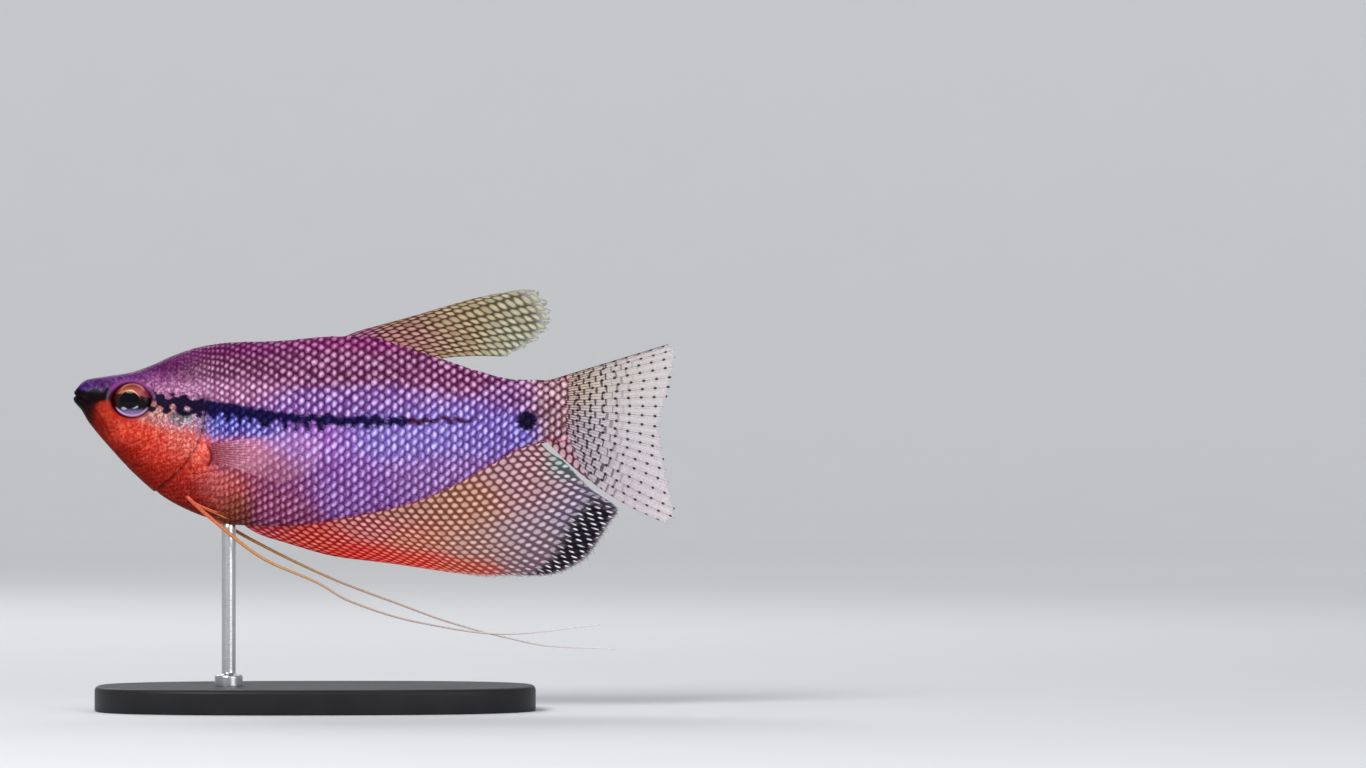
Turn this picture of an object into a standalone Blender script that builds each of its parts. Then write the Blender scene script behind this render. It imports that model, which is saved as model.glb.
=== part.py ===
"""A pearl gourami as a still, life-size display model on a plain stand.

The fish swims level with its snout towards -X and its back towards +Z. The floor is at Z = 0 and the
origin lies under the middle of its total length. Sizes are in millimetres, and MM turns them into metres.
"""

import math

import bmesh
import bpy
import numpy as np

MM = 0.001
GAP = 0.3

# Body: outlines from the side as (x, z), and half widths as (x, y).
SNOUT_X = -60.1
STALK_END_X = 34.0
NOSE_LENGTH = 2.6
BACK_LINE = [
    (-60.1, 65.0), (-58.0, 66.1), (-54.0, 66.8), (-49.5, 67.5), (-45.3, 68.8), (-40.1, 71.1), (-35.1, 72.7),
    (-28.7, 73.6), (-19.5, 73.9), (-8.3, 74.8), (-1.5, 74.8), (4.1, 73.4), (9.7, 71.6), (20.9, 67.8),
    (28.0, 66.2), (34.0, 66.1),
]
BELLY_LINE = [
    (-60.1, 61.6), (-58.6, 59.6), (-57.0, 57.2), (-52.9, 52.3), (-47.8, 46.9), (-42.7, 42.8), (-37.6, 40.0),
    (-32.5, 38.1), (-27.1, 36.9), (-16.7, 36.6), (-11.1, 37.2), (-2.7, 38.6), (4.9, 40.2), (10.9, 42.2),
    (17.1, 45.0), (23.3, 48.6), (28.5, 51.6), (34.0, 53.4),
]
WIDEST_LINE = [
    (-60.1, 63.4), (-50.0, 61.0), (-40.0, 58.5), (-30.0, 57.0), (-15.0, 57.0), (0.0, 57.5), (15.0, 58.2),
    (34.0, 59.8),
]
HALF_WIDTHS = [
    (-60.1, 2.5), (-57.0, 2.9), (-53.0, 3.7), (-48.7, 4.6), (-44.0, 5.5), (-39.0, 6.2), (-33.0, 6.6),
    (-26.0, 6.8), (-16.0, 6.6), (-5.0, 5.8), (6.0, 4.7), (17.0, 3.5), (26.0, 2.4), (34.0, 1.5),
]
# How sharp the back and belly ridges are: 1 is an ellipse, and more is a narrower ridge.
BACK_SHARPNESS = [(-60.1, 1.0), (-45.0, 0.95), (-30.0, 1.05), (0.0, 1.25), (34.0, 1.1)]
BELLY_SHARPNESS = [
    (-60.1, 1.0), (-45.0, 1.0), (-30.0, 1.1), (-18.0, 1.35), (0.0, 1.6), (20.0, 1.6), (34.0, 1.1),
]
BODY_STATIONS = 42
BODY_SIDES = 28
# Stations bunch towards the snout by this power.
STATION_BUNCHING = 1.5

# Thin cuts that part the body, as (x, z) lines seen from the side.
GILL_OPENING = [
    (-31.5, 77.0), (-32.6, 69.5), (-33.5, 64.0), (-33.9, 59.0), (-34.9, 54.8), (-36.7, 51.0),
    (-39.5, 47.6), (-43.1, 44.6), (-47.5, 40.5),
]
GILL_OPENING_STEPS = 60
MOUTH_AND_JAW = [
    (-62.5, 64.2), (-60.1, 63.0), (-58.2, 61.9), (-56.7, 60.7), (-56.0, 59.0), (-55.6, 56.5), (-55.3, 49.0),
]
STALK_CUT = [(25.5, 78.0), (24.3, 66.0), (24.0, 58.0), (24.6, 50.0), (26.0, 38.0)]
GAPE_CORNER_X = -56.9
KNIFE_REACH = 20.0

# Gill covers: plates let into the cheek, and standing slightly proud of it.
GILL_COVER_FRONT = [
    (-42.9, 45.5), (-43.9, 46.7), (-43.6, 49.2), (-42.0, 52.6), (-41.0, 56.0), (-40.3, 59.6),
    (-39.2, 62.6), (-37.2, 64.4), (-34.8, 64.9),
]
GILL_COVER_FRONT_STEPS = 17
# The cover's hind edge takes one in so many of the opening's steps.
GILL_COVER_STRIDE = 3
GILL_COVER_TOP_Z = 64.2
GILL_COVER_LOWEST_Z = 45.6
GILL_COVER_THICKNESS = 0.8
GILL_COVER_PROUD = 0.25
GILL_COVER_CLEARANCE = 0.42

# Eyes, lips and nostrils.
EYE_X, EYE_Z = -48.7, 61.9
EYE_RADIUS = 3.55
EYE_DEPTH = 2.3
EYE_CENTRE_Y = 3.0
EYE_YAW = math.radians(11.0)
EYE_SEGMENTS, EYE_RINGS = 20, 9
EYE_RIM_RADIUS = 3.95
EYE_RIM_WIDTH = 0.42
EYE_RIM_HEIGHT = 0.55
EYE_RIM_SINK = 0.15
RIM_SEGMENTS, RIM_SIDES = 24, 6
LIP_RADIUS = 0.42
LIP_SINK = 0.3
LIP_TAPER = 0.45
LIP_RINGS, LIP_SIDES = 19, 8
LIP_CLEARANCE = 0.05
LIP_NOSE_GAP = 0.01
LIP_STEPS = 90
NOSTRILS = [(-54.4, 65.0), (-52.9, 65.2)]
NOSTRIL_RADIUS = 0.38
NOSTRIL_SEGMENTS, NOSTRIL_RINGS = 10, 5

# Fins: where each meets the body and its ray tips, both as (share of the fin's base, x, z).
DORSAL_RAYS = 14
DORSAL_BASE = (-5.9, 13.3)
DORSAL_TIPS = [
    (0.0, -0.6, 76.6), (0.15, 10.5, 79.6), (0.3, 22.5, 83.0), (0.42, 31.0, 84.3), (0.55, 34.6, 81.4),
    (0.7, 35.4, 77.8), (0.85, 32.4, 74.0), (1.0, 26.3, 70.6),
]
ANAL_RAYS = 34
ANAL_BASE = (-26.0, 33.2)
ANAL_TIPS = [
    (0.0, -18.3, 33.8), (0.12, -8.5, 30.8), (0.25, 3.7, 29.2), (0.4, 14.9, 27.5), (0.55, 24.9, 26.4),
    (0.65, 34.4, 26.6), (0.75, 42.3, 29.6), (0.82, 45.6, 33.8), (0.88, 47.6, 37.2), (0.92, 49.2, 39.8),
    (0.96, 43.2, 44.4), (1.0, 37.6, 50.0),
]
TAIL_RAYS = 17
TAIL_TIPS = [
    (0.0, 58.6, 73.2), (0.07, 60.1, 71.8), (0.25, 59.2, 65.6), (0.5, 57.0, 56.6), (0.75, 58.4, 46.8),
    (0.93, 60.1, 38.8), (1.0, 58.4, 37.2),
]
TAIL_ROOT_HEIGHT = 12.2
# The tail's lowest rays bow downwards, from this share of its base on.
TAIL_LOWER_BOW = 0.12
TAIL_BOW_STARTS = 0.6
# Each fin's sideways wave: how far it reaches, and its phase along the base and along the rays.
DORSAL_WAVE = (0.5, 3.0, 2.0)
ANAL_WAVE = (0.7, 7.0, 1.5)
TAIL_WAVE = (0.5, 9.0, 1.0)
TAIL_CURL = 1.3
PECTORAL_RAYS = 10
PECTORAL_BASE = [(0.0, -32.6, 53.4), (1.0, -32.2, 49.8)]
PECTORAL_TIPS = [(0.0, -15.9, 55.8), (0.3, -10.7, 53.4), (0.6, -11.5, 49.4), (1.0, -18.3, 45.2)]
PECTORAL_SPLAY = math.tan(math.radians(14.0))
RAY_HALF = (0.45, 0.3)
MEMBRANE_HALF = 0.26
# A ray thins to this share of its thickness at the tip, from the place where the thinning starts.
TIP_THICKNESS = 0.35
THINNING_STARTS = 0.82
# A fin thickens towards its root over this share of its length.
FLARE_ENDS = 0.22

# Feelers: the long first rays of the pelvic fins, through (x, y, z), and the short rays beside them.
FEELER_LEFT = [
    (-38.2, -2.2, 43.6), (-36.6, -3.4, 41.9), (-31.5, -3.9, 37.4), (-22.3, -4.8, 30.4), (-11.5, -5.8, 25.6),
    (-5.4, -6.2, 22.1), (8.9, -6.6, 17.7), (25.7, -6.0, 15.4), (44.7, -4.6, 17.2),
]
FEELER_RIGHT = [
    (-38.2, 2.2, 43.6), (-36.6, 3.4, 41.9), (-31.5, 3.9, 38.0), (-24.4, 4.4, 33.8), (-8.5, 5.6, 26.1),
    (5.9, 6.4, 20.6), (14.1, 6.6, 17.6), (25.7, 6.6, 14.4), (35.7, 6.2, 12.5), (48.3, 5.6, 12.0),
]
# Radii at the root, at a share of the length, and at the tip.
FEELER_RADII = (0.46, 0.29, 0.2)
FEELER_RADII_AT = (0.0, 0.4, 1.0)
FEELER_LENGTHS = ("root", "middle", "tip")
FEELER_STEPS = 20
FEELER_SIDES = 6
SHORT_RAY_ENDS = [(-29.6, 4.3, 38.4), (-31.4, 4.5, 39.6)]
SHORT_RAY_RADII = (0.36, 0.14)
SHORT_RAY_STEPS = 7

# Stand: an oval base with one rod up to the belly between the feelers.
BASE_CENTRE_X = -12.0
BASE_LENGTH, BASE_WIDTH, BASE_HEIGHT = 88.0, 48.0, 5.0
BASE_ROUNDNESS = 2.6
BASE_BEVEL = 0.9
# The bevel's middle step: how far it is below the top, and how far inside the edge.
BASE_BEVEL_STEP = 0.27
BASE_FOOT_CHAMFER = 0.3
BASE_SIDES = 56
ROD_X = -29.3
ROD_RADIUS = 1.4
# The rod is carried this far into the belly before it is cut back to its surface.
ROD_OVERRUN = 1.5
COLLAR_RADIUS, COLLAR_HEIGHT, COLLAR_CHAMFER = 2.8, 2.2, 0.5
ROD_SIDES = 20
SHARP_EDGE = math.radians(35.0)

# Looks as colour (red, green, blue), roughness, metallic value and the nodes that wear them.
LOOKS = {
    "flesh": ((0.36, 0.22, 0.55), 0.35, 0.0, ("head", "torso", "tail_stalk")),
    "throat": ((0.72, 0.12, 0.06), 0.4, 0.0, ("gill_cover_left", "gill_cover_right")),
    "jaw": ((0.20, 0.08, 0.12), 0.4, 0.0, ("lower_jaw",)),
    "fin": ((0.62, 0.50, 0.46), 0.4, 0.0,
            ("dorsal_fin", "tail_fin", "pectoral_fin_left", "pectoral_fin_right")),
    "anal_fin": ((0.62, 0.26, 0.20), 0.4, 0.0, ("anal_fin",)),
    "feeler": ((0.80, 0.42, 0.22), 0.45, 0.0,
               tuple(f"feeler_{side}_{part}" for side in ("left", "right") for part in FEELER_LENGTHS)),
    "eye": ((0.42, 0.16, 0.05), 0.08, 0.0, ("eye_left", "eye_right")),
    "stand_base": ((0.03, 0.03, 0.035), 0.3, 0.0, ("stand_base",)),
    "stand_rod": ((0.62, 0.62, 0.64), 0.25, 1.0, ("stand_rod",)),
}


def smooth(points, at):
    """Values at places `at` of a smooth curve through (place, value...) rows, with no overshoot."""
    rows = np.asarray(points, float)
    place, values = rows[:, 0], rows[:, 1:]
    steps = np.diff(place)[:, None]
    slopes = np.diff(values, axis=0) / steps
    both = slopes[:-1] * slopes[1:]
    mean = np.where(both > 0, 2 * both / np.where(both > 0, slopes[:-1] + slopes[1:], 1.0), 0.0)
    tangents = np.vstack([slopes[:1], mean, slopes[-1:]])
    at = np.clip(np.asarray(at, float), place[0], place[-1])
    piece = np.clip(np.searchsorted(place, at) - 1, 0, len(place) - 2)
    width = (place[piece + 1] - place[piece])[..., None]
    t = (at - place[piece])[..., None] / width
    value = (
        values[piece] * (1 + 2 * t) * (1 - t) ** 2
        + values[piece + 1] * t * t * (3 - 2 * t)
        + tangents[piece] * width * t * (1 - t) ** 2
        - tangents[piece + 1] * width * t * t * (1 - t)
    )
    return value[..., 0] if values.shape[1] == 1 else value


def smooth_path(points, count):
    """`count` points evenly spaced along a smooth curve through the given points."""
    rows = np.asarray(points, float)
    along = np.concatenate([[0.0], np.cumsum(np.linalg.norm(np.diff(rows, axis=0), axis=1))])
    return smooth(np.column_stack([along, rows]), np.linspace(0.0, along[-1], count))


def body_section(x, grow=0.0):
    """The body's cross-section at x: widest height, heights above and below it, half width and ridges."""
    nose = np.clip((x - (SNOUT_X - grow)) / NOSE_LENGTH, 0.0, 1.0)
    rounding = np.sqrt(1.0 - (1.0 - nose) ** 2)
    middle = smooth(WIDEST_LINE, x)
    above = (smooth(BACK_LINE, x) - middle + grow) * rounding
    below = (middle - smooth(BELLY_LINE, x) + grow) * rounding
    half_width = (smooth(HALF_WIDTHS, x) + grow) * rounding
    return middle, above, below, half_width, smooth(BACK_SHARPNESS, x), smooth(BELLY_SHARPNESS, x)


def body_half_width(x, z, grow=0.0):
    """How far the body's side is from the middle plane at (x, z)."""
    middle, above, below, half_width, back, belly = body_section(x, grow)
    high = z > middle
    share = np.clip((z - middle) / np.where(high, above, below), -1.0, 1.0)
    return half_width * (1.0 - share**2) ** (np.where(high, back, belly) / 2)


def new_object(name, points, faces):
    """A closed mesh object from millimetre points, with its faces turned outwards."""
    mesh = bpy.data.meshes.new(name)
    mesh.from_pydata([tuple(float(c) * MM for c in p) for p in points], [], [tuple(f) for f in faces])
    mesh.update()
    obj = bpy.data.objects.new(name, mesh)
    bpy.context.scene.collection.objects.link(obj)
    face_outwards(obj)
    return obj


def face_outwards(obj):
    """Turns the faces of a closed mesh outwards, and splits those of more than four corners."""
    shape = bmesh.new()
    shape.from_mesh(obj.data)
    bmesh.ops.triangulate(shape, faces=[f for f in shape.faces if len(f.verts) > 4])
    bmesh.ops.recalc_face_normals(shape, faces=shape.faces)
    shape.to_mesh(obj.data)
    shape.free()


def loft(name, rings):
    """A closed solid through rings of equal point counts, with a fan over each end."""
    count = len(rings[0])
    points = [p for ring in rings for p in ring] + [np.mean(rings[0], axis=0), np.mean(rings[-1], axis=0)]
    first_cap, last_cap = len(points) - 2, len(points) - 1
    faces = []
    for i in range(len(rings) - 1):
        for k in range(count):
            a, b = i * count + k, i * count + (k + 1) % count
            faces += [(a, b, b + count), (a, b + count, a + count)]
    start = (len(rings) - 1) * count
    for k in range(count):
        following = (k + 1) % count
        faces += [(first_cap, following, k), (last_cap, start + k, start + following)]
    return new_object(name, points, faces)


def body_solid(name, grow=0.0):
    """The whole body from snout to tail root, grown outwards all round by `grow`."""
    share = np.linspace(0.0, 1.0, BODY_STATIONS + 1)[1:]
    stations = SNOUT_X - grow + (STALK_END_X - SNOUT_X + 2 * grow) * share**STATION_BUNCHING
    turn = np.arange(BODY_SIDES) * (2 * math.pi / BODY_SIDES)
    rings = []
    for x in stations:
        middle, above, below, half_width, back, belly = body_section(x, grow)
        height = np.where(np.cos(turn) > 0, above, below) * np.cos(turn)
        ridge = np.where(np.cos(turn) > 0, back, belly)
        side = half_width * np.sign(np.sin(turn)) * np.abs(np.sin(turn)) ** ridge
        rings.append(np.column_stack([np.full(BODY_SIDES, x), side, middle + height]))
    return loft(name, rings)


def prism(name, outline):
    """An (x, z) outline carried through the whole body from side to side."""
    count = len(outline)
    points = [(x, y, z) for y in (-KNIFE_REACH, KNIFE_REACH) for x, z in outline]
    faces = [tuple(range(count)), tuple(range(2 * count - 1, count - 1, -1))]
    faces += [(k, k + count, (k + 1) % count + count, (k + 1) % count) for k in range(count)]
    return new_object(name, points, faces)


def beside(line, distance):
    """An (x, z) line moved sideways by a distance."""
    line = np.asarray(line, float)
    along = np.gradient(line, axis=0)
    along /= np.linalg.norm(along, axis=1)[:, None]
    return line + distance * np.column_stack([-along[:, 1], along[:, 0]])


def knife(name, line):
    """A slab as thin as the gap, that follows an (x, z) line through the whole body."""
    path = smooth_path(line, 3 * len(line))
    outline = np.vstack([beside(path, GAP / 2), beside(path, -GAP / 2)[::-1]])
    return prism(name, outline)


def boolean(target, operation, others):
    """Applies one Boolean of a collection of closed objects to the target, and removes them."""
    group = bpy.data.collections.new("operands")
    for other in others:
        group.objects.link(other)
    modifier = target.modifiers.new(operation.lower(), "BOOLEAN")
    modifier.operation = operation
    modifier.operand_type = "COLLECTION"
    modifier.collection = group
    modifier.solver = "EXACT"
    evaluated = target.evaluated_get(bpy.context.evaluated_depsgraph_get())
    mesh = bpy.data.meshes.new_from_object(evaluated)
    target.modifiers.clear()
    target.data = mesh
    for other in others:
        bpy.data.objects.remove(other)
    bpy.data.collections.remove(group)


def closed_surfaces(obj):
    """The vertex indices of each connected surface of a mesh, largest box first."""
    shape = bmesh.new()
    shape.from_mesh(obj.data)
    unseen, groups = set(shape.verts), []
    while unseen:
        front, group = [unseen.pop()], []
        while front:
            vertex = front.pop()
            group.append(vertex)
            for edge in vertex.link_edges:
                other = edge.other_vert(vertex)
                if other in unseen:
                    unseen.remove(other)
                    front.append(other)
        places = np.array([v.co for v in group])
        groups.append((float(np.prod(np.ptp(places, axis=0))), [v.index for v in group]))
    shape.free()
    return [indices for _, indices in sorted(groups, reverse=True)]


def keep_only(obj, indices):
    """Deletes every vertex of an object that is not in `indices`."""
    kept = set(indices)
    shape = bmesh.new()
    shape.from_mesh(obj.data)
    bmesh.ops.delete(shape, geom=[v for v in shape.verts if v.index not in kept], context="VERTS")
    shape.to_mesh(obj.data)
    shape.free()


def keep_largest(obj):
    """Keeps an object's largest closed surface."""
    keep_only(obj, closed_surfaces(obj)[0])


def split(obj, names):
    """Parts a cut object into one object for each of its largest surfaces, and returns them by name.

    `names` maps a node name to a test on the surface's middle point.
    """
    found = {}
    for indices in closed_surfaces(obj)[: len(names)]:
        middle = np.mean([obj.data.vertices[i].co for i in indices], axis=0) / MM
        piece = obj.copy()
        piece.data = obj.data.copy()
        bpy.context.scene.collection.objects.link(piece)
        keep_only(piece, indices)
        (name,) = [name for name, test in names.items() if test(middle)]
        piece.name = piece.data.name = name
        found[name] = piece
    bpy.data.objects.remove(obj)
    return found


def tube(name, path, radii, sides):
    """A tapering round tube along a path of 3-D points."""
    path = np.asarray(path, float)
    along = np.gradient(path, axis=0)
    along /= np.linalg.norm(along, axis=1)[:, None]
    across = np.cross(along, (0.0, 1.0, 0.0))
    across /= np.linalg.norm(across, axis=1)[:, None]
    upward = np.cross(across, along)
    turn = np.arange(sides) * (2 * math.pi / sides)
    rings = [
        point + radius * (np.outer(np.cos(turn), a) + np.outer(np.sin(turn), u))
        for point, radius, a, u in zip(path, radii, across, upward)
    ]
    return loft(name, rings)


def ellipsoid(name, centre, radii, yaw, segments, rings):
    """A closed ellipsoid, turned about the vertical by `yaw`."""
    turn = np.arange(segments) * (2 * math.pi / segments)
    tilts = np.linspace(0.0, math.pi, rings + 2)[1:-1]
    loops = []
    for tilt in tilts:
        local = np.column_stack([
            radii[0] * math.sin(tilt) * np.cos(turn),
            np.full(segments, radii[1] * math.cos(tilt)),
            radii[2] * math.sin(tilt) * np.sin(turn),
        ])
        loops.append(turned(local, yaw) + np.asarray(centre))
    obj = loft(name, loops)
    poles = turned(np.array([[0.0, radii[1], 0.0], [0.0, -radii[1], 0.0]]), yaw) + np.asarray(centre)
    for vertex, pole in zip(list(obj.data.vertices)[-2:], poles):
        vertex.co = pole * MM
    return obj


def turned(points, yaw):
    """Points turned about the vertical."""
    c, s = math.cos(yaw), math.sin(yaw)
    return points @ np.array([[c, s, 0.0], [-s, c, 0.0], [0.0, 0.0, 1.0]])


def body_parts():
    """Models the body whole, and parts it into jaw, head, torso and tail stalk."""
    body = body_solid("body")
    cuts = {"gill_cut": GILL_OPENING, "jaw_cut": MOUTH_AND_JAW, "stalk_cut": STALK_CUT}
    boolean(body, "DIFFERENCE", [knife(name, line) for name, line in cuts.items()])
    return split(body, {
        "lower_jaw": lambda p: p[0] < -56.0 and p[2] < 62.0,
        "head": lambda p: -56.0 < p[0] < -36.0,
        "torso": lambda p: -36.0 < p[0] < 23.0,
        "tail_stalk": lambda p: p[0] > 24.0,
    })


def gill_cover_outline(grow=0.0):
    """The gill cover from the side: its front edge, and its back edge along the gill opening."""
    opening = beside(smooth_path(GILL_OPENING, GILL_OPENING_STEPS), -GAP / 2)
    covered = (opening[:, 1] < GILL_COVER_TOP_Z) & (opening[:, 1] > GILL_COVER_LOWEST_Z)
    back = opening[covered][::GILL_COVER_STRIDE]
    outline = np.vstack([back, smooth_path(GILL_COVER_FRONT, GILL_COVER_FRONT_STEPS)])
    centre = outline.mean(axis=0)
    away = outline - centre
    return outline + grow * away / np.linalg.norm(away, axis=1)[:, None]


def gill_covers(head):
    """Lets a plate into each cheek of the head, and returns the plates."""
    recess = prism("recess", gill_cover_outline(GILL_COVER_CLEARANCE))
    boolean(recess, "DIFFERENCE", [body_solid("core", -GILL_COVER_THICKNESS - GAP)])
    boolean(head, "DIFFERENCE", [recess])
    keep_largest(head)
    plates = body_solid("plates", GILL_COVER_PROUD)
    boolean(plates, "INTERSECT", [prism("outline", gill_cover_outline())])
    boolean(plates, "DIFFERENCE", [body_solid("core", -GILL_COVER_THICKNESS)])
    return split(plates, {
        "gill_cover_left": lambda p: p[1] < 0.0,
        "gill_cover_right": lambda p: p[1] > 0.0,
    })


def eye_ball(name, side, grow=0.0):
    """An eyeball that faces out to one side, a little forwards."""
    centre = (EYE_X + EYE_DEPTH * math.sin(EYE_YAW), side * EYE_CENTRE_Y, EYE_Z)
    radii = (EYE_RADIUS + grow, EYE_DEPTH + grow, EYE_RADIUS + grow)
    return ellipsoid(name, centre, radii, side * EYE_YAW, EYE_SEGMENTS, EYE_RINGS)


def eye_rim(side):
    """The ring of skin round an eye."""
    turn = np.arange(RIM_SEGMENTS) * (2 * math.pi / RIM_SEGMENTS)
    around = np.arange(RIM_SIDES) * (2 * math.pi / RIM_SIDES)
    outward = turned(np.array([[0.0, float(side), 0.0]]), side * EYE_YAW)[0]
    directions = turned(np.column_stack([np.cos(turn), 0 * turn, np.sin(turn)]), side * EYE_YAW)
    centre = np.array([EYE_X, side * (body_half_width(EYE_X, EYE_Z) - EYE_RIM_SINK), EYE_Z])
    points, faces = [], []
    for i, direction in enumerate(directions):
        for k, angle in enumerate(around):
            across = EYE_RIM_RADIUS + EYE_RIM_WIDTH * math.cos(angle)
            points.append(centre + across * direction + EYE_RIM_HEIGHT * math.sin(angle) * outward)
            following, above = (i + 1) % RIM_SEGMENTS * RIM_SIDES, (k + 1) % RIM_SIDES
            faces.append((i * RIM_SIDES + k, i * RIM_SIDES + above, following + above, following + k))
    return new_object("rim", points, faces)


def lip(name, lift):
    """A round lip along the mouth, from one corner round the snout to the other, lifted off the cut."""
    xs = np.linspace(GAPE_CORNER_X, SNOUT_X + LIP_NOSE_GAP, LIP_STEPS)
    zs = smooth(np.asarray(MOUTH_AND_JAW, float)[1:4], xs) + lift
    half_width = body_half_width(xs, zs, -LIP_SINK)
    left = np.column_stack([xs, -half_width, zs])[half_width > 0.0]
    path = smooth_path(np.vstack([left, left[::-1] * (1, -1, 1)]), LIP_RINGS)
    share = np.linspace(-1.0, 1.0, LIP_RINGS)
    across = np.gradient(path, axis=0)
    side = np.cross(across, (0.0, 0.0, 1.0))
    side /= np.linalg.norm(side, axis=1)[:, None]
    turn = np.arange(LIP_SIDES) * (2 * math.pi / LIP_SIDES)
    rings = []
    for point, s, radius in zip(path, side, LIP_RADIUS * (1.0 - LIP_TAPER * share**2)):
        rings.append(point + radius * (np.outer(np.cos(turn), s) + np.outer(np.sin(turn), (0.0, 0.0, 1.0))))
    return loft(name, rings)


def finish_head(head, jaw):
    """Adds eye rims and lips, sinks the sockets and nostrils, and sets the eyeballs in."""
    lift = LIP_RADIUS + GAP / 2 + LIP_CLEARANCE
    boolean(head, "UNION", [eye_rim(-1), eye_rim(1), lip("upper_lip", lift)])
    boolean(jaw, "UNION", [lip("under_lip", -lift)])
    pits = []
    for side in (-1, 1):
        pits.append(eye_ball("socket", side, GAP))
        for x, z in NOSTRILS:
            centre = (x, side * body_half_width(x, z), z)
            radii = (NOSTRIL_RADIUS,) * 3
            pits.append(ellipsoid("pit", centre, radii, 0.0, NOSTRIL_SEGMENTS, NOSTRIL_RINGS))
    boolean(head, "DIFFERENCE", pits)
    keep_largest(head)
    keep_largest(jaw)
    eye_ball("eye_left", -1)
    eye_ball("eye_right", 1)


def wave(shape, t, s):
    """A sideways wave at shares t of a fin's base and s of its rays."""
    reach, along_base, along_ray = shape
    return reach * np.sin(along_base * t + along_ray * s)


def ray_fin(name, rays, rows, base, tips, sway, root, bow=lambda t: 0.0, fringe=0.05, flare=0.0):
    """A fin as one closed sheet: rays are ridges raised in its own surface, with membrane between them.

    base(t) gives the (x, z) roots and tips the ray ends, both by share t of the base. Each ray is a
    quadratic curve, bowed by bow(t) of its length. sway(t, s, x) gives the sheet's y, with s the share
    of the ray's length. root(t, x, z) gives an extra point inside the body for each root.
    """
    columns = 2 * rays - 1
    sheets = []
    for j in range(columns):
        t = j / (columns - 1)
        is_ray = j % 2 == 0
        start, end = np.asarray(base(t), float), smooth(tips, t)
        reach = end - start
        control = (start + end) / 2 + bow(t) * np.array([reach[1], -reach[0]])
        s = np.linspace(0.0, 1.0 if is_ray else 1.0 - fringe, rows)
        x, z = (
            (1 - s) ** 2 * p + 2 * s * (1 - s) * c + s * s * q for p, c, q in zip(start, control, end)
        )
        y = sway(t, s, x)
        body = RAY_HALF[0] + (RAY_HALF[1] - RAY_HALF[0]) * s if is_ray else np.full(rows, MEMBRANE_HALF)
        thinning = np.clip((s - THINNING_STARTS) / (1.0 - THINNING_STARTS), 0.0, 1.0)
        half = body * (1.0 - (1.0 - TIP_THICKNESS) * thinning)
        half = half + flare * np.clip(1.0 - s / FLARE_ENDS, 0.0, 1.0) ** 2
        inside = root(t, x[0], z[0])
        middle = np.vstack([[inside], np.column_stack([x, y, z])])
        sheets.append((middle, np.concatenate([half[:1], half])))
    return fin_solid(name, sheets)


def fin_solid(name, sheets):
    """Closes a grid of middle points and half thicknesses, split into triangles alike on both faces."""
    columns, rows = len(sheets), len(sheets[0][0])
    points = []
    for way in (-1.0, 1.0):
        for middle, half in sheets:
            points += [p + (0.0, way * h, 0.0) for p, h in zip(middle, half)]
    back = columns * rows
    faces = []
    for j in range(columns - 1):
        for i in range(rows - 1):
            a, b = j * rows + i, (j + 1) * rows + i
            for face in ((a, b, b + 1), (a, b + 1, a + 1)):
                faces += [face, tuple(v + back for v in reversed(face))]
    edge = [j * rows for j in range(columns)] + [(columns - 1) * rows + i for i in range(1, rows)]
    edge += [j * rows + rows - 1 for j in range(columns - 2, -1, -1)] + list(range(rows - 2, 0, -1))
    for a, b in zip(edge, edge[1:] + edge[:1]):
        faces += [(b, a, a + back), (b, a + back, b + back)]
    return new_object(name, points, faces)


def along_body(span, line):
    """Roots of a fin spread along the body's back or belly line."""
    low, high = span

    def base(t):
        x = low + (high - low) * t
        return x, float(smooth(line, x))

    return base


def median_root(depth):
    """Roots sunk straight down into the body's middle plane by a depth, up for a negative one."""
    return lambda t, x, z: (x, 0.0, z - depth)


def fit_to_body(fin):
    """Cuts a fin or rod back to the body's surface with the gap between them."""
    boolean(fin, "DIFFERENCE", [body_solid("grown", GAP)])
    keep_largest(fin)


def median_fins():
    """The dorsal and anal fins."""
    dorsal = ray_fin(
        "dorsal_fin", DORSAL_RAYS, 7, along_body(DORSAL_BASE, BACK_LINE), DORSAL_TIPS,
        bow=lambda t: -0.05, fringe=0.07, flare=0.35, root=median_root(1.6),
        sway=lambda t, s, x: s * wave(DORSAL_WAVE, t, s),
    )
    anal = ray_fin(
        "anal_fin", ANAL_RAYS, 7, along_body(ANAL_BASE, BELLY_LINE), ANAL_TIPS,
        bow=lambda t: 0.13, fringe=0.08, flare=0.35, root=median_root(-1.8),
        sway=lambda t, s, x: s * s * wave(ANAL_WAVE, t, s),
    )
    for fin in (dorsal, anal):
        fit_to_body(fin)


def tail_fin():
    """The fan of the tail, spread from the end of the tail stalk."""
    middle = (smooth(BACK_LINE, STALK_END_X) + smooth(BELLY_LINE, STALK_END_X)) / 2
    top = middle + TAIL_ROOT_HEIGHT / 2

    def bow(t):
        return TAIL_LOWER_BOW * max(0.0, (t - TAIL_BOW_STARTS) / (1.0 - TAIL_BOW_STARTS)) ** 2

    fan = ray_fin(
        "tail_fin", TAIL_RAYS, 8, lambda t: (STALK_END_X + GAP, top - TAIL_ROOT_HEIGHT * t), TAIL_TIPS,
        bow=bow, fringe=0.03, flare=0.75, root=lambda t, x, z: (x - 1.0, 0.0, z),
        sway=lambda t, s, x: TAIL_CURL * s * s + s * wave(TAIL_WAVE, t, s),
    )
    fit_to_body(fan)


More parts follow.
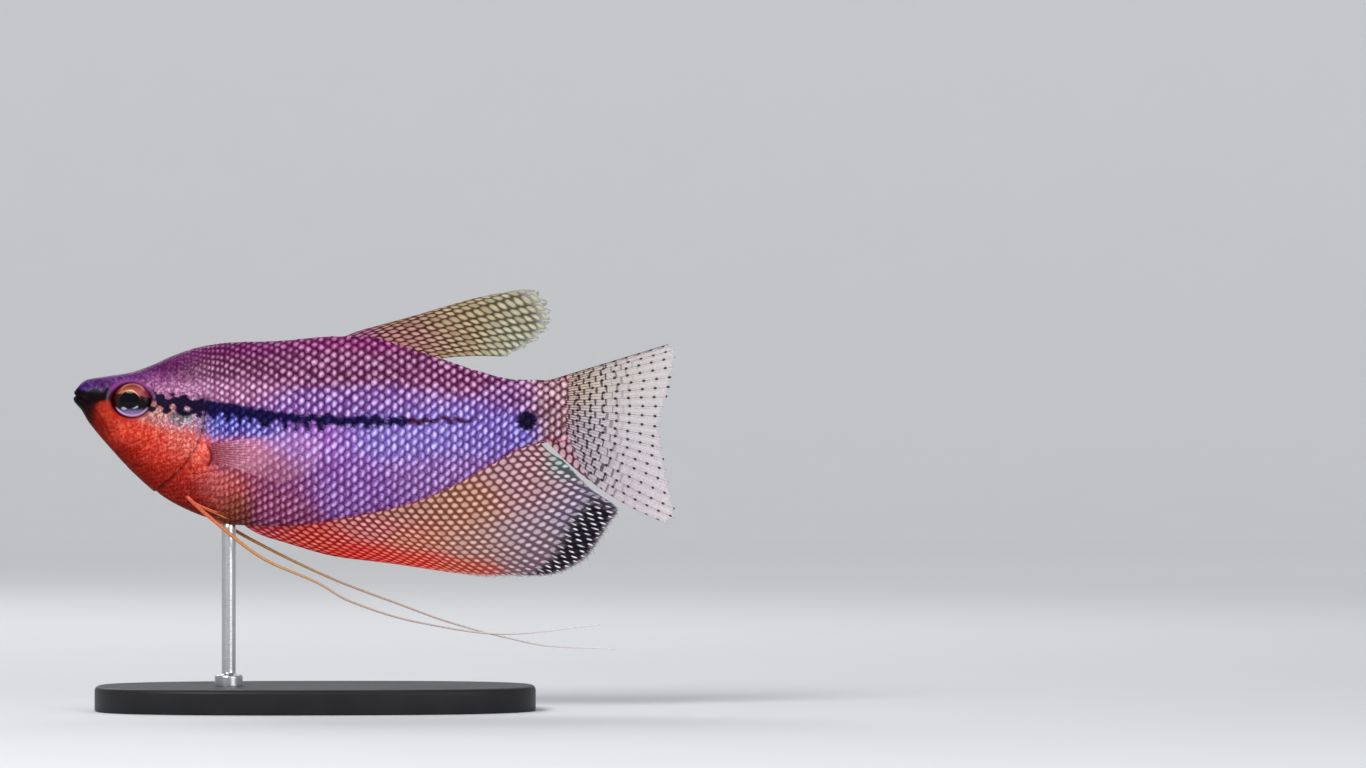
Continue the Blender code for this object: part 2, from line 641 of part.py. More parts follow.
def pectoral_fin(name, side):
    """A paddle on one flank, rooted through a short fleshy base and splayed back off the body."""
    (_, base_x, base_top), (_, _, base_foot) = PECTORAL_BASE
    root_y = float(body_half_width(base_x, (base_top + base_foot) / 2))

    def sway(t, s, x):
        return side * (root_y + 0.75 + PECTORAL_SPLAY * (x - x[0]) + 0.25 * s * math.sin(5.0 * t))

    paddle = ray_fin(
        name, PECTORAL_RAYS, 6, lambda t: smooth(PECTORAL_BASE, t), PECTORAL_TIPS,
        fringe=0.04, flare=0.25, sway=sway, root=lambda t, x, z: (x - 0.2, side * (root_y - 1.2), z),
    )
    fit_to_body(paddle)


def feeler(side_name, path):
    """One long feeler in three lengths. Its root carries the short rays of the pelvic fin."""
    steps = len(FEELER_LENGTHS) * FEELER_STEPS + 1
    fine = smooth_path(path, steps)
    radii = np.interp(np.linspace(0.0, 1.0, steps), FEELER_RADII_AT, FEELER_RADII)
    for i, part in enumerate(FEELER_LENGTHS):
        span = slice(i * FEELER_STEPS, (i + 1) * FEELER_STEPS + 1, 2)
        stretch = fine[span].copy()
        if part == "root":
            thread = tube(f"feeler_{side_name}_{part}", stretch, radii[span], FEELER_SIDES)
            boolean(thread, "UNION", [short_ray(path, end) for end in SHORT_RAY_ENDS])
            fit_to_body(thread)
        else:
            step = stretch[1] - stretch[0]
            stretch[0] += step * GAP / np.linalg.norm(step)
            tube(f"feeler_{side_name}_{part}", stretch, radii[span], FEELER_SIDES)


def short_ray(path, end):
    """A short pelvic ray from the feeler's root to its own end, on the same side."""
    start = np.asarray(path[0], float)
    side = np.sign(start[1])
    tip = np.array([end[0], side * end[1], end[2]])
    knee = np.asarray(path[1], float)
    line = smooth_path([start, knee, tip], SHORT_RAY_STEPS)
    return tube("short", line, np.linspace(*SHORT_RAY_RADII, SHORT_RAY_STEPS), FEELER_SIDES)


def stand():
    """The oval base, and the rod with its collar."""
    turn = np.arange(BASE_SIDES) * (2 * math.pi / BASE_SIDES)
    power = 2.0 / BASE_ROUNDNESS
    oval = np.column_stack([
        np.sign(np.cos(turn)) * np.abs(np.cos(turn)) ** power,
        np.sign(np.sin(turn)) * np.abs(np.sin(turn)) ** power,
    ])
    steps = [
        (0.0, BASE_FOOT_CHAMFER),
        (BASE_FOOT_CHAMFER, 0.0),
        (BASE_HEIGHT - BASE_BEVEL, 0.0),
        (BASE_HEIGHT - BASE_BEVEL_STEP, BASE_BEVEL_STEP),
        (BASE_HEIGHT, BASE_BEVEL),
    ]
    rings = []
    for z, inset in steps:
        x = BASE_CENTRE_X + (BASE_LENGTH / 2 - inset) * oval[:, 0]
        rings.append(np.column_stack([x, (BASE_WIDTH / 2 - inset) * oval[:, 1], np.full(BASE_SIDES, z)]))
    loft("stand_base", rings)
    foot = BASE_HEIGHT + GAP
    shoulder = foot + COLLAR_HEIGHT
    top = float(smooth(BELLY_LINE, ROD_X)) + ROD_OVERRUN
    profile = [
        (COLLAR_RADIUS, foot),
        (COLLAR_RADIUS, shoulder - COLLAR_CHAMFER),
        (COLLAR_RADIUS - COLLAR_CHAMFER, shoulder),
        (ROD_RADIUS, shoulder),
        (ROD_RADIUS, top),
    ]
    around = np.arange(ROD_SIDES) * (2 * math.pi / ROD_SIDES)
    rod = loft("stand_rod", [
        np.column_stack([ROD_X + r * np.cos(around), r * np.sin(around), np.full(ROD_SIDES, z)])
        for r, z in profile
    ])
    fit_to_body(rod)


def dress():
    """Gives every node a Principled material of its own, and smooth shading with its edges kept sharp."""
    for colour, roughness, metallic, nodes in LOOKS.values():
        for node in nodes:
            material = bpy.data.materials.new(node)
            material.use_nodes = True
            shader = material.node_tree.nodes["Principled BSDF"]
            shader.inputs["Base Color"].default_value = (*colour, 1.0)
            shader.inputs["Roughness"].default_value = roughness
            shader.inputs["Metallic"].default_value = metallic
            mesh = bpy.data.objects[node].data
            mesh.materials.clear()
            mesh.materials.append(material)
            mesh.shade_smooth()
            mesh.set_sharp_from_angle(angle=SHARP_EDGE)


def main():
    """Builds the whole model."""
    for obj in list(bpy.data.objects):
        bpy.data.objects.remove(obj)
    parts = body_parts()
    gill_covers(parts["head"])
    finish_head(parts["head"], parts["lower_jaw"])
    median_fins()
    tail_fin()
    pectoral_fin("pectoral_fin_left", -1)
    pectoral_fin("pectoral_fin_right", 1)
    feeler("left", FEELER_LEFT)
    feeler("right", FEELER_RIGHT)
    stand()
    dress()


main()
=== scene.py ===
"""The looks of a pearl gourami on its display stand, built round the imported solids.

The fish's snout points to -X, its left side faces the camera at -Y, and the floor is at Z = 0. Lengths in
this file are millimetres until a mesh or the camera is made, where MM turns them into metres.
"""

import logging
import math
from collections.abc import Callable, Sequence
from dataclasses import dataclass
from enum import Enum

import bpy
import numpy as np
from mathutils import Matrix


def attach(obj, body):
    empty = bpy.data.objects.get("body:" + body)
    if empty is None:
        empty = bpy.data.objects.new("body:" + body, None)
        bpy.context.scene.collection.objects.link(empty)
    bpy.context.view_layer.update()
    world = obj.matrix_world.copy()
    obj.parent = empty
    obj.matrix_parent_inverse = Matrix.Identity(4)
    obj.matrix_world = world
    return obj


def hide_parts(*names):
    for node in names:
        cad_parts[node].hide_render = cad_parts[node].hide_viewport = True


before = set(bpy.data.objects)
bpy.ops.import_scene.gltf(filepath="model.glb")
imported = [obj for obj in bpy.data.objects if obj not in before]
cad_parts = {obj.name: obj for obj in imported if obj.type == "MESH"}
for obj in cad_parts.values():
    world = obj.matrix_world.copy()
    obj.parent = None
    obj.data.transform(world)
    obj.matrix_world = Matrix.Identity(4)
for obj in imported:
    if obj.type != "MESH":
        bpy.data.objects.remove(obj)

log = logging.getLogger("gourami")
MM = 0.001
Array = np.ndarray
Piece = bpy.types.Object
Material = bpy.types.Material
Rows = Sequence[tuple[float, ...]]
Pair = tuple[float, float]
Triple = tuple[float, float, float]
Number = "float | Wire"


def smooth(points: Rows, at: Array) -> Array:
    """Reads a smooth curve with no overshoot: a Hermite cubic whose slopes are harmonic means.

    Args:
        points: rows of a place followed by one or more values.
        at: the places to read, clamped to the rows' range.

    Returns:
        The values, without a last axis if each row has one value.
    """
    rows = np.asarray(points, float)
    place, values = rows[:, 0], rows[:, 1:]
    slopes = np.diff(values, axis=0) / np.diff(place)[:, None]
    both = slopes[:-1] * slopes[1:]
    mean = np.where(both > 0, 2 * both / np.where(both > 0, slopes[:-1] + slopes[1:], 1.0), 0.0)
    tangents = np.vstack([slopes[:1], mean, slopes[-1:]])
    at = np.clip(np.asarray(at, float), place[0], place[-1])
    piece = np.clip(np.searchsorted(place, at) - 1, 0, len(place) - 2)
    width = (place[piece + 1] - place[piece])[..., None]
    t = (at - place[piece])[..., None] / width
    value = (
        values[piece] * (1 + 2 * t) * (1 - t) ** 2
        + values[piece + 1] * t * t * (3 - 2 * t)
        + tangents[piece] * width * t * (1 - t) ** 2
        - tangents[piece + 1] * width * t * t * (1 - t)
    )
    return value[..., 0] if values.shape[1] == 1 else value


def together(*parts: "Array | float") -> Array:
    """Numbers and arrays, spread to one shape and put side by side along a new last axis."""
    return np.stack(np.broadcast_arrays(*parts), axis=-1)


def with_fourth(colour: Array, value: Array) -> Array:
    """Colours with a fourth number each."""
    return np.concatenate([colour, value[..., None]], axis=-1)


def lengths(line: Array) -> Array:
    """The length along a line up to each of its points."""
    return np.concatenate([[0.0], np.cumsum(np.linalg.norm(np.diff(line, axis=0), axis=1))])


def directions(line: Array) -> Array:
    """The unit direction of a line at each of its points."""
    along = np.gradient(line, axis=0)
    return along / np.linalg.norm(along, axis=1)[:, None]


def smooth_path(points: Rows, count: int) -> Array:
    """Spreads points evenly along a smooth curve.

    Args:
        points: the points that the curve goes through.
        count: how many points to return.

    Returns:
        The points, one a row.
    """
    rows = np.asarray(points, float)
    along = lengths(rows)
    return smooth(np.column_stack([along, rows]), np.linspace(0.0, along[-1], count))


def step(low: float, high: float, value: Array) -> Array:
    """A smooth step: 0 up to low, 1 from high, and 3t^2 - 2t^3 between them.

    Args:
        low: where the step starts.
        high: where it ends, which may lie below low.
        value: the numbers to read it at.

    Returns:
        Numbers from 0 to 1.
    """
    t = np.clip((value - low) / (high - low), 0.0, 1.0)
    return t * t * (3.0 - 2.0 * t)


def bell(value: Array, width: float) -> Array:
    """A bell of height 1 about 0: exp(-(value / width)^2)."""
    return np.exp(-((value / width) ** 2))


def linear(colour: str) -> Array:
    """Turns a #rrggbb colour into linear red, green and blue.

    Args:
        colour: the colour as it shows on a screen.

    Returns:
        Three numbers from 0 to 1.
    """
    value = np.array([int(colour[i:i + 2], 16) for i in (1, 3, 5)]) / 255.0
    return np.where(value <= 0.04045, value / 12.92, ((value + 0.055) / 1.055) ** 2.4)


def ripple(x: Array, z: Array, length: float, seed: int) -> Array:
    """Soft random blotches: the sum of nine seeded sine waves in all directions, divided by 3.

    Args:
        x: places along the fish.
        z: heights.
        length: the usual wave length in millimetres.
        seed: the seed of the waves' directions, phases and lengths.

    Returns:
        Numbers that mostly lie between -1 and 1.
    """
    draw = np.random.default_rng(seed)
    total = np.zeros(np.broadcast(x, z).shape)
    for turn, phase, stretch in zip(draw.uniform(0, 2 * math.pi, 9), draw.uniform(0, 2 * math.pi, 9),
                                    draw.uniform(0.7, 1.5, 9)):
        total += np.sin((x * math.cos(turn) + z * math.sin(turn)) * 2 * math.pi / (length * stretch) + phase)
    return total / 3.0


def line_distance(line: Array, x: Array, z: Array) -> tuple[Array, Array]:
    """Measures from (x, z) places to a line, seen from the side.

    Args:
        line: the line's points, one a row.
        x: places along the fish.
        z: heights.

    Returns:
        The signed distance, positive to the right of the line's direction, and the share of the line's
        points at which it is nearest.
    """
    away = together(x[..., None] - line[:, 0], z[..., None] - line[:, 1])
    nearest = np.argmin((away**2).sum(axis=-1), axis=-1)
    offset = np.take_along_axis(away, nearest[..., None, None], axis=-2)[..., 0, :]
    direction = directions(line)[nearest]
    return offset[..., 0] * direction[..., 1] - offset[..., 1] * direction[..., 0], nearest / (len(line) - 1)


def grid_faces(rows: int, columns: int, wraps: bool = False) -> Array:
    """Quads over a grid of points that are numbered row by row.

    Args:
        rows: points along the first direction.
        columns: points along the second direction.
        wraps: True if the last column joins the first one again.

    Returns:
        One face a row.
    """
    i = np.arange(rows - 1)[:, None] * columns
    j = np.arange(columns if wraps else columns - 1)[None, :]
    a, b = i + j, i + (j + 1) % columns
    return together(a, b, b + columns, a + columns).reshape(-1, 4)


def capped_faces(rows: int, columns: int, turned: bool = False) -> list[Array]:
    """Faces of a closed tube: quads round its rings, and a fan at each end.

    The pole of the first ring's fan is the point after the last ring, and the other pole is the next one.

    Args:
        rows: how many rings.
        columns: points in each ring.
        turned: True to wind the faces the other way.

    Returns:
        The quads and the two fans.
    """
    number = np.arange(columns)
    after = np.roll(number, -1)
    last, pole = (rows - 1) * columns, rows * columns
    faces = [
        grid_faces(rows, columns, wraps=True),
        together(pole, after, number),
        together(pole + 1, last + number, last + after),
    ]
    return [part[:, ::-1] for part in faces] if turned else faces


def superellipse(turn: Array, fullness: float) -> Array:
    """(cos, sin) of each turn, each raised to 2 / fullness with its sign kept."""
    part = together(np.cos(turn), np.sin(turn))
    return np.sign(part) * np.abs(part) ** (2.0 / fullness)


def turns_round(count: int) -> Array:
    """Evenly spaced angles once round."""
    return np.arange(count) * (2 * math.pi / count)


def rim_of(rows: int, columns: int) -> Array:
    """The numbers of a grid's outermost points, once round."""
    number = np.arange(rows * columns).reshape(rows, columns)
    return np.concatenate([number[0, :-1], number[:-1, -1], number[-1, :0:-1], number[:0:-1, 0]])


def maths(operation: str, swapped: bool = False) -> Callable[["Wire", Number], "Wire"]:
    """Makes an operator of Wire.

    Args:
        operation: the Math node's operation.
        swapped: True for a reflected operator, whose other value comes first.

    Returns:
        The method.
    """
    def operator(wire: "Wire", other: Number) -> "Wire":
        """Adds the Math node."""
        first, second = (other, wire) if swapped else (wire, other)
        return wire.graph.node("Math", {"operation": operation}, {0: first, 1: second})
    return operator


@dataclass(frozen=True)
class Wire:
    """One output of a material's nodes. Arithmetic on it adds Math nodes."""

    graph: "Graph"
    socket: bpy.types.NodeSocket

    __add__ = __radd__ = maths("ADD")
    __sub__, __rsub__ = maths("SUBTRACT"), maths("SUBTRACT", True)
    __mul__ = __rmul__ = maths("MULTIPLY")
    __truediv__, __rtruediv__ = maths("DIVIDE"), maths("DIVIDE", True)
    __pow__ = maths("POWER")

    def math(self, operation: str, *others: Number) -> "Wire":
        """Adds a Math node that reads this wire first, and then its other values, if any."""
        return self.graph.node("Math", {"operation": operation}, dict(enumerate((self, *others))))

    def __abs__(self) -> "Wire":
        """The size without its sign."""
        return self.math("ABSOLUTE")

    def fraction(self) -> "Wire":
        """What is left above the whole number below."""
        return self.math("FRACT")

    def floor(self) -> "Wire":
        """The whole number below."""
        return self.math("FLOOR")

    def between(self, low: Number, high: Number) -> "Wire":
        """A smooth step from 0 at low to 1 at high, in either order.

        Args:
            low: where the result is 0.
            high: where the result is 1.

        Returns:
            The stepped value.
        """
        settings = {"interpolation_type": "SMOOTHSTEP"}
        return self.graph.node("MapRange", settings, {"Value": self, "From Min": low, "From Max": high})


class Graph:
    """The nodes of one material, with a Principled shader already at their end."""

    def __init__(self, name: str) -> None:
        """Makes an empty material of that name."""
        self.material = bpy.data.materials.new(name)
        self.material.use_nodes = True
        self.tree = self.material.node_tree
        self.shader = self.tree.nodes["Principled BSDF"]

    def node(self, kind: str, settings: dict | None = None, inputs: dict | None = None,
             output: int | str = 0) -> Wire:
        """Adds any node: its settings are made first, then its sockets are filled.

        Args:
            kind: the node's type, without the ShaderNode that it starts with.
            settings: the node's properties, or "stops" for a ramp's (place, #rrggbb) rows.
            inputs: values or wires by socket name or number.
            output: the socket to return.

        Returns:
            The wire of that output.
        """
        made = self.tree.nodes.new("ShaderNode" + kind)
        for key, value in (settings or {}).items():
            if key == "stops":
                self.fill_ramp(made.color_ramp, value)
            else:
                setattr(made, key, value)
        for key, value in (inputs or {}).items():
            self.fill(made.inputs[key], value)
        return Wire(self, made.outputs[output])

    def fill(self, socket: bpy.types.NodeSocket, value: "Wire | float | tuple") -> None:
        """Links a wire to a socket, or sets its value.

        Args:
            socket: the socket.
            value: a wire, or what the socket holds without one.
        """
        if isinstance(value, Wire):
            self.tree.links.new(value.socket, socket)
        else:
            socket.default_value = value

    @staticmethod
    def fill_ramp(ramp: bpy.types.ColorRamp, stops: list[tuple[float, str]]) -> None:
        """Gives a ramp its stops.

        Args:
            ramp: the node's ramp.
            stops: (place, #rrggbb) rows.
        """
        while len(ramp.elements) < len(stops):
            ramp.elements.new(1.0)
        for element, (place, colour) in zip(ramp.elements, stops):
            element.position = place
            element.color = (*linear(colour), 1.0)

    def place(self) -> Wire:
        """Object coordinates in millimetres."""
        metres = self.node("TexCoord", output="Object")
        return self.node("VectorMath", {"operation": "SCALE"}, {0: metres, "Scale": 1.0 / MM})

    def swirl(self, place: Wire, reach: float = 1.4) -> Wire:
        """A place pushed about by soft noise, so that a pattern read there flows."""
        noise = self.noise(place, 0.9, 2.0, output="Color")
        return self.node("VectorMath", {"operation": "MULTIPLY_ADD"}, {0: noise, 1: (reach,) * 3, 2: place})

    def parts(self, vector: Wire) -> tuple[Wire, Wire, Wire]:
        """A vector's three numbers."""
        made = self.node("SeparateXYZ", inputs={0: vector}).socket.node
        return tuple(Wire(self, out) for out in made.outputs)

    def attribute(self, name: str) -> tuple[Wire, Wire, Wire]:
        """A mesh attribute of three numbers, apart."""
        return self.parts(self.node("Attribute", {"attribute_name": name}, output="Vector"))

    def tinted(self, colour: Wire, tint: Triple, share: Number = 1.0) -> Wire:
        """A colour multiplied by a tint, by a share."""
        return self.mix(share, colour, (*tint, 1.0), "MULTIPLY")

    def painted(self, name: str) -> tuple[Wire, Wire]:
        """A mesh's colour attribute, and its fourth value."""
        colour = self.node("Attribute", {"attribute_name": name}, output="Color")
        return colour, Wire(self, colour.socket.node.outputs["Alpha"])

    def join(self, x: Number, y: Number, z: Number = 0.0) -> Wire:
        """A vector from three numbers or wires."""
        return self.node("CombineXYZ", inputs={0: x, 1: y, 2: z})

    def noise(self, vector: Wire, scale: float, detail: float = 3.0, rough: float = 0.55,
              output: str = "Fac") -> Wire:
        """A noise texture.

        Args:
            vector: where it is read.
            scale: how fine it is for one unit of the vector.
            detail: its octaves.
            rough: how much of each finer octave it keeps.
            output: "Fac" or "Color".

        Returns:
            The noise.
        """
        inputs = {"Vector": vector, "Scale": scale, "Detail": detail, "Roughness": rough}
        return self.node("TexNoise", {"noise_dimensions": "3D"}, inputs, output)

    def mix(self, share: Number, first: "Wire | tuple", second: "Wire | tuple", blend: str = "MIX") -> Wire:
        """Mixes two colours.

        Args:
            share: 0 for the first colour, 1 for the second.
            first: a wire or a linear colour.
            second: a wire or a linear colour.
            blend: the Mix node's blend type.

        Returns:
            The mixed colour.
        """
        sockets = {0: share, 6: rgba(first), 7: rgba(second)}
        return self.node("Mix", {"data_type": "RGBA", "blend_type": blend}, sockets, 2)

    def bump(self, height: Wire, distance: float, strength: float = 1.0) -> Wire:
        """A Bump node's normal.

        Args:
            height: the height as a number.
            distance: the height in millimetres of one unit.
            strength: how much of it shows.

        Returns:
            The normal.
        """
        inputs = {"Strength": strength, "Distance": distance * MM, "Height": height}
        return self.node("Bump", inputs=inputs, output="Normal")

    def dress(self, **sockets: "Wire | float | tuple | str") -> Material:
        """Fills the Principled shader's sockets.

        Args:
            sockets: values or wires by socket name, with _ for a space.

        Returns:
            The material.
        """
        for key, value in sockets.items():
            self.fill(self.shader.inputs[key.replace("_", " ")], rgba(value))
        return self.material


def rgba(value: "Wire | float | tuple | str | Array") -> "Wire | float | tuple":
    """Completes a colour that is given as #rrggbb or as three linear numbers, and passes on the rest.

    Args:
        value: what a socket is filled with.

    Returns:
        A wire, a number, or a colour with its fourth value.
    """
    if isinstance(value, str):
        value = linear(value)
    if isinstance(value, Array):
        return (*(float(v) for v in value), 1.0)
    return value


def new_piece(name: str, points: Array, faces: list[Array],
              attributes: dict[str, Array] | None = None) -> Piece:
    """Makes a smooth mesh object at the origin.

    Args:
        name: the piece's name.
        points: its points in millimetres.
        faces: arrays of triangles or quads, wound so that they face outwards.
        attributes: point attributes by name, with three numbers each, or four for a colour.

    Returns:
        The object.
    """
    mesh = bpy.data.meshes.new(name)
    corners = np.concatenate([f.ravel() for f in faces])
    sizes = np.concatenate([np.full(len(f), f.shape[1]) for f in faces])
    mesh.vertices.add(len(points))
    mesh.vertices.foreach_set("co", (points * MM).ravel())
    mesh.loops.add(len(corners))
    mesh.loops.foreach_set("vertex_index", corners)
    mesh.polygons.add(len(sizes))
    mesh.polygons.foreach_set("loop_start", np.cumsum(sizes) - sizes)
    mesh.update(calc_edges=True)
    mesh.shade_smooth()
    for key, values in (attributes or {}).items():
        is_colour = values.shape[1] == 4
        made = mesh.attributes.new(key, "FLOAT_COLOR" if is_colour else "FLOAT_VECTOR", "POINT")
        made.data.foreach_set("color" if is_colour else "vector", values.astype(np.float32).ravel())
    piece = bpy.data.objects.new(name, mesh)
    bpy.context.scene.collection.objects.link(piece)
    return piece


def corner_points(piece: Piece) -> Array:
    """The number of the point at each face corner.

    Args:
        piece: the mesh object.

    Returns:
        One number a corner.
    """
    numbers = np.empty(len(piece.data.loops), np.int64)
    piece.data.loops.foreach_get("vertex_index", numbers)
    return numbers


def add_unwrap(piece: Piece, uv: Array) -> None:
    """Gives a piece the UV map OFBake, from one (u, v) row for each face corner."""
    layer = piece.data.uv_layers.new(name="OFBake")
    layer.data.foreach_set("uv", uv.astype(np.float32).ravel())


def settle(piece: Piece, material: Material, slot: str, *nodes: str) -> None:
    """Dresses a finished piece, hangs it under the root body and hides the CAD nodes that it stands for.

    Args:
        piece: the piece.
        material: its material.
        slot: the record's material slot; not used.
        nodes: the CAD nodes that it stands for.
    """
    piece.data.materials.append(material)
    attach(piece, "root")
    if nodes:
        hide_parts(*nodes)
    log.info("%s: %d points, %d faces", piece.name, len(piece.data.vertices), len(piece.data.polygons))


class Side(Enum):
    """A side of the fish, as the sign of its Y."""

    LEFT = -1
    RIGHT = 1

    @property
    def word(self) -> str:
        """The side's name in piece names."""
        return self.name.lower()


@dataclass(frozen=True)
class Zone:
    """A patch of colour, seen from the side, that fades like a bell into its neighbours."""

    x: float
    z: float
    reach_x: float
    reach_z: float
    ground: str
    spot: str
    strength: float = 1.0

    def weight(self, x: Array, z: Array) -> Array:
        """How much of the zone shows at each place."""
        return bell(np.hypot((x - self.x) / self.reach_x, (z - self.z) / self.reach_z), 1.0)


def blend_zones(zones: tuple[Zone, ...], x: Array, z: Array) -> tuple[Array, Array, Array]:
    """Mixes the zones' colours by their weights at each place.

    Args:
        zones: the zones.
        x: places along the fish.
        z: heights.

    Returns:
        The ground colours, the spot colours and the spots' strengths.
    """
    weights = np.stack([zone.weight(x, z) for zone in zones], axis=-1) + 1e-9
    weights /= weights.sum(axis=-1, keepdims=True)
    ground = weights @ np.array([linear(zone.ground) for zone in zones])
    spot = weights @ np.array([linear(zone.spot) for zone in zones])
    return ground, spot, weights @ np.array([zone.strength for zone in zones])


@dataclass(frozen=True)
class BodyForm:
    """The body's shape: outlines from the side, half widths, and the relief of the head."""

    snout_x: float = -60.1
    stalk_end_x: float = 34.0
    skin_end_x: float = 37.6
    nose_length: float = 2.6
    back_line: Rows = (
        (-60.1, 65.0), (-58.0, 66.1), (-54.0, 66.8), (-49.5, 67.5), (-45.3, 68.8), (-40.1, 71.1),
        (-35.1, 72.7), (-28.7, 73.6), (-19.5, 73.9), (-8.3, 74.8), (-1.5, 74.8), (4.1, 73.4), (9.7, 71.6),
        (20.9, 67.8), (28.0, 66.2), (34.0, 66.1))
    belly_line: Rows = (
        (-60.1, 61.6), (-58.6, 59.6), (-57.0, 57.2), (-52.9, 52.3), (-47.8, 46.9), (-42.7, 42.8),
        (-37.6, 40.0), (-32.5, 38.1), (-27.1, 36.9), (-16.7, 36.6), (-11.1, 37.2), (-2.7, 38.6), (4.9, 40.2),
        (10.9, 42.2), (17.1, 45.0), (23.3, 48.6), (28.5, 51.6), (34.0, 53.4))
    widest_line: Rows = (
        (-60.1, 63.4), (-50.0, 61.0), (-40.0, 58.5), (-30.0, 57.0), (-15.0, 57.0), (0.0, 57.5),
        (15.0, 58.2), (34.0, 59.8))
    half_widths: Rows = (
        (-60.1, 2.5), (-57.0, 2.9), (-53.0, 3.7), (-48.7, 4.6), (-44.0, 5.5), (-39.0, 6.2), (-33.0, 6.6),
        (-26.0, 6.8), (-16.0, 6.6), (-5.0, 5.8), (6.0, 4.7), (17.0, 3.5), (26.0, 2.4), (34.0, 1.5),
        (37.6, 0.55))
    back_sharpness: Rows = (
        (-60.1, 1.0), (-45.0, 0.95), (-30.0, 1.05), (0.0, 1.25), (34.0, 1.1))
    belly_sharpness: Rows = (
        (-60.1, 1.0), (-45.0, 1.0), (-30.0, 1.1), (-18.0, 1.35), (0.0, 1.6), (20.0, 1.6), (34.0, 1.1))
    gill_opening: Rows = (
        (-32.9, 67.5), (-33.5, 64.0), (-33.9, 59.0), (-34.9, 54.8), (-36.7, 51.0), (-39.5, 47.6),
        (-43.1, 44.6), (-46.0, 41.9))
    preopercle: Rows = (
        (-42.6, 60.2), (-42.3, 57.0), (-42.6, 53.2), (-44.3, 50.0), (-47.4, 48.6), (-50.6, 49.4))
    cheek_fold: Rows = (
        (-56.6, 60.6), (-54.9, 58.6), (-53.4, 55.9), (-52.2, 53.3), (-50.9, 51.6))
    mouth: Rows = (
        (-62.5, 64.2), (-60.1, 63.0), (-58.2, 61.9), (-56.7, 60.7), (-56.0, 59.6))
    gape_corner_x: float = -56.9
    jaw_x: float = -59.2
    nostrils: Rows = ((-54.4, 65.0), (-52.9, 65.2))
    eye_x: float = -48.7
    eye_z: float = 61.9
    eye_stretch: Pair = (1.09, 0.95)
    socket_radius: float = 3.56
    socket_depth: float = 2.5
    orbit_radius: float = 3.85
    fin_bump: Pair = (-33.6, 51.0)
    table_stations: int = 260
    table_turns: int = 720
    slope: float = 0.01

    def section(self, x: Array, grow: float = 0.0) -> tuple[Array, ...]:
        """The cross-section at x, rounded at the nose like a quarter circle.

        Args:
            x: places along the fish.
            grow: how far the section lies outside the outlines.

        Returns:
            The widest height, the heights above and below it, the half width, and the two sharpnesses.
        """
        nose = np.clip((x - (self.snout_x - grow)) / self.nose_length, 0.0, 1.0)
        rounding = np.sqrt(1.0 - (1.0 - nose) ** 2)
        middle = smooth(self.widest_line, x)
        above = (smooth(self.back_line, x) - middle + grow) * rounding
        below = (middle - smooth(self.belly_line, x) + grow) * rounding
        width = (smooth(self.half_widths, x) + grow) * rounding
        return middle, above, below, width, smooth(self.back_sharpness, x), smooth(self.belly_sharpness, x)

    def at_turn(self, x: Array, turn: Array, grow: float = 0.0) -> Array:
        """Points of the section: height cos(turn), and side sin(turn) raised to the ridge's sharpness.

        Args:
            x: places along the fish.
            turn: angles from the back over the right side to the belly.
            grow: how far the points lie outside the outlines.

        Returns:
            The points.
        """
        middle, above, below, width, back, belly = self.section(x, grow)
        cos, sin = np.cos(turn), np.sin(turn)
        height = np.where(cos > 0, above, below) * cos
        side = width * np.sign(sin) * np.abs(sin) ** np.where(cos > 0, back, belly)
        return together(x, side, middle + height)

    def normal(self, x: Array, turn: Array) -> Array:
        """Outward normals: the cross product of the slopes round and along the section.

        Args:
            x: places along the fish.
            turn: angles from the back over the right side to the belly.

        Returns:
            Unit vectors.
        """
        e = self.slope
        around = self.at_turn(x, turn + e) - self.at_turn(x, turn - e)
        along = self.at_turn(x + e, turn) - self.at_turn(x - e, turn)
        normal = np.cross(along, around)
        return normal / np.maximum(np.linalg.norm(normal, axis=-1, keepdims=True), 1e-9)

    def arc_table(self) -> tuple[Array, Array, Array, Array]:
        """Tables the turn for each share of the way from the back's ridge to the belly's.

        Returns:
            The stations, the whole way's length, the length down to the widest height, and the turns.
        """
        x = np.linspace(self.snout_x + 0.02, self.skin_end_x, self.table_stations)
        turn = np.linspace(0.0, math.pi, self.table_turns)
        points = self.at_turn(x[:, None], turn[None, :])
        pieces = np.linalg.norm(np.diff(points, axis=1), axis=-1)
        arc = np.concatenate([np.zeros((len(x), 1)), np.cumsum(pieces, axis=1)], axis=1)
        down = arc[:, self.table_turns // 2]
        shares = np.linspace(0.0, 1.0, self.table_turns)
        turns = np.stack([np.interp(shares * row[-1], row, turn) for row in arc])
        return x, arc[:, -1], down, turns

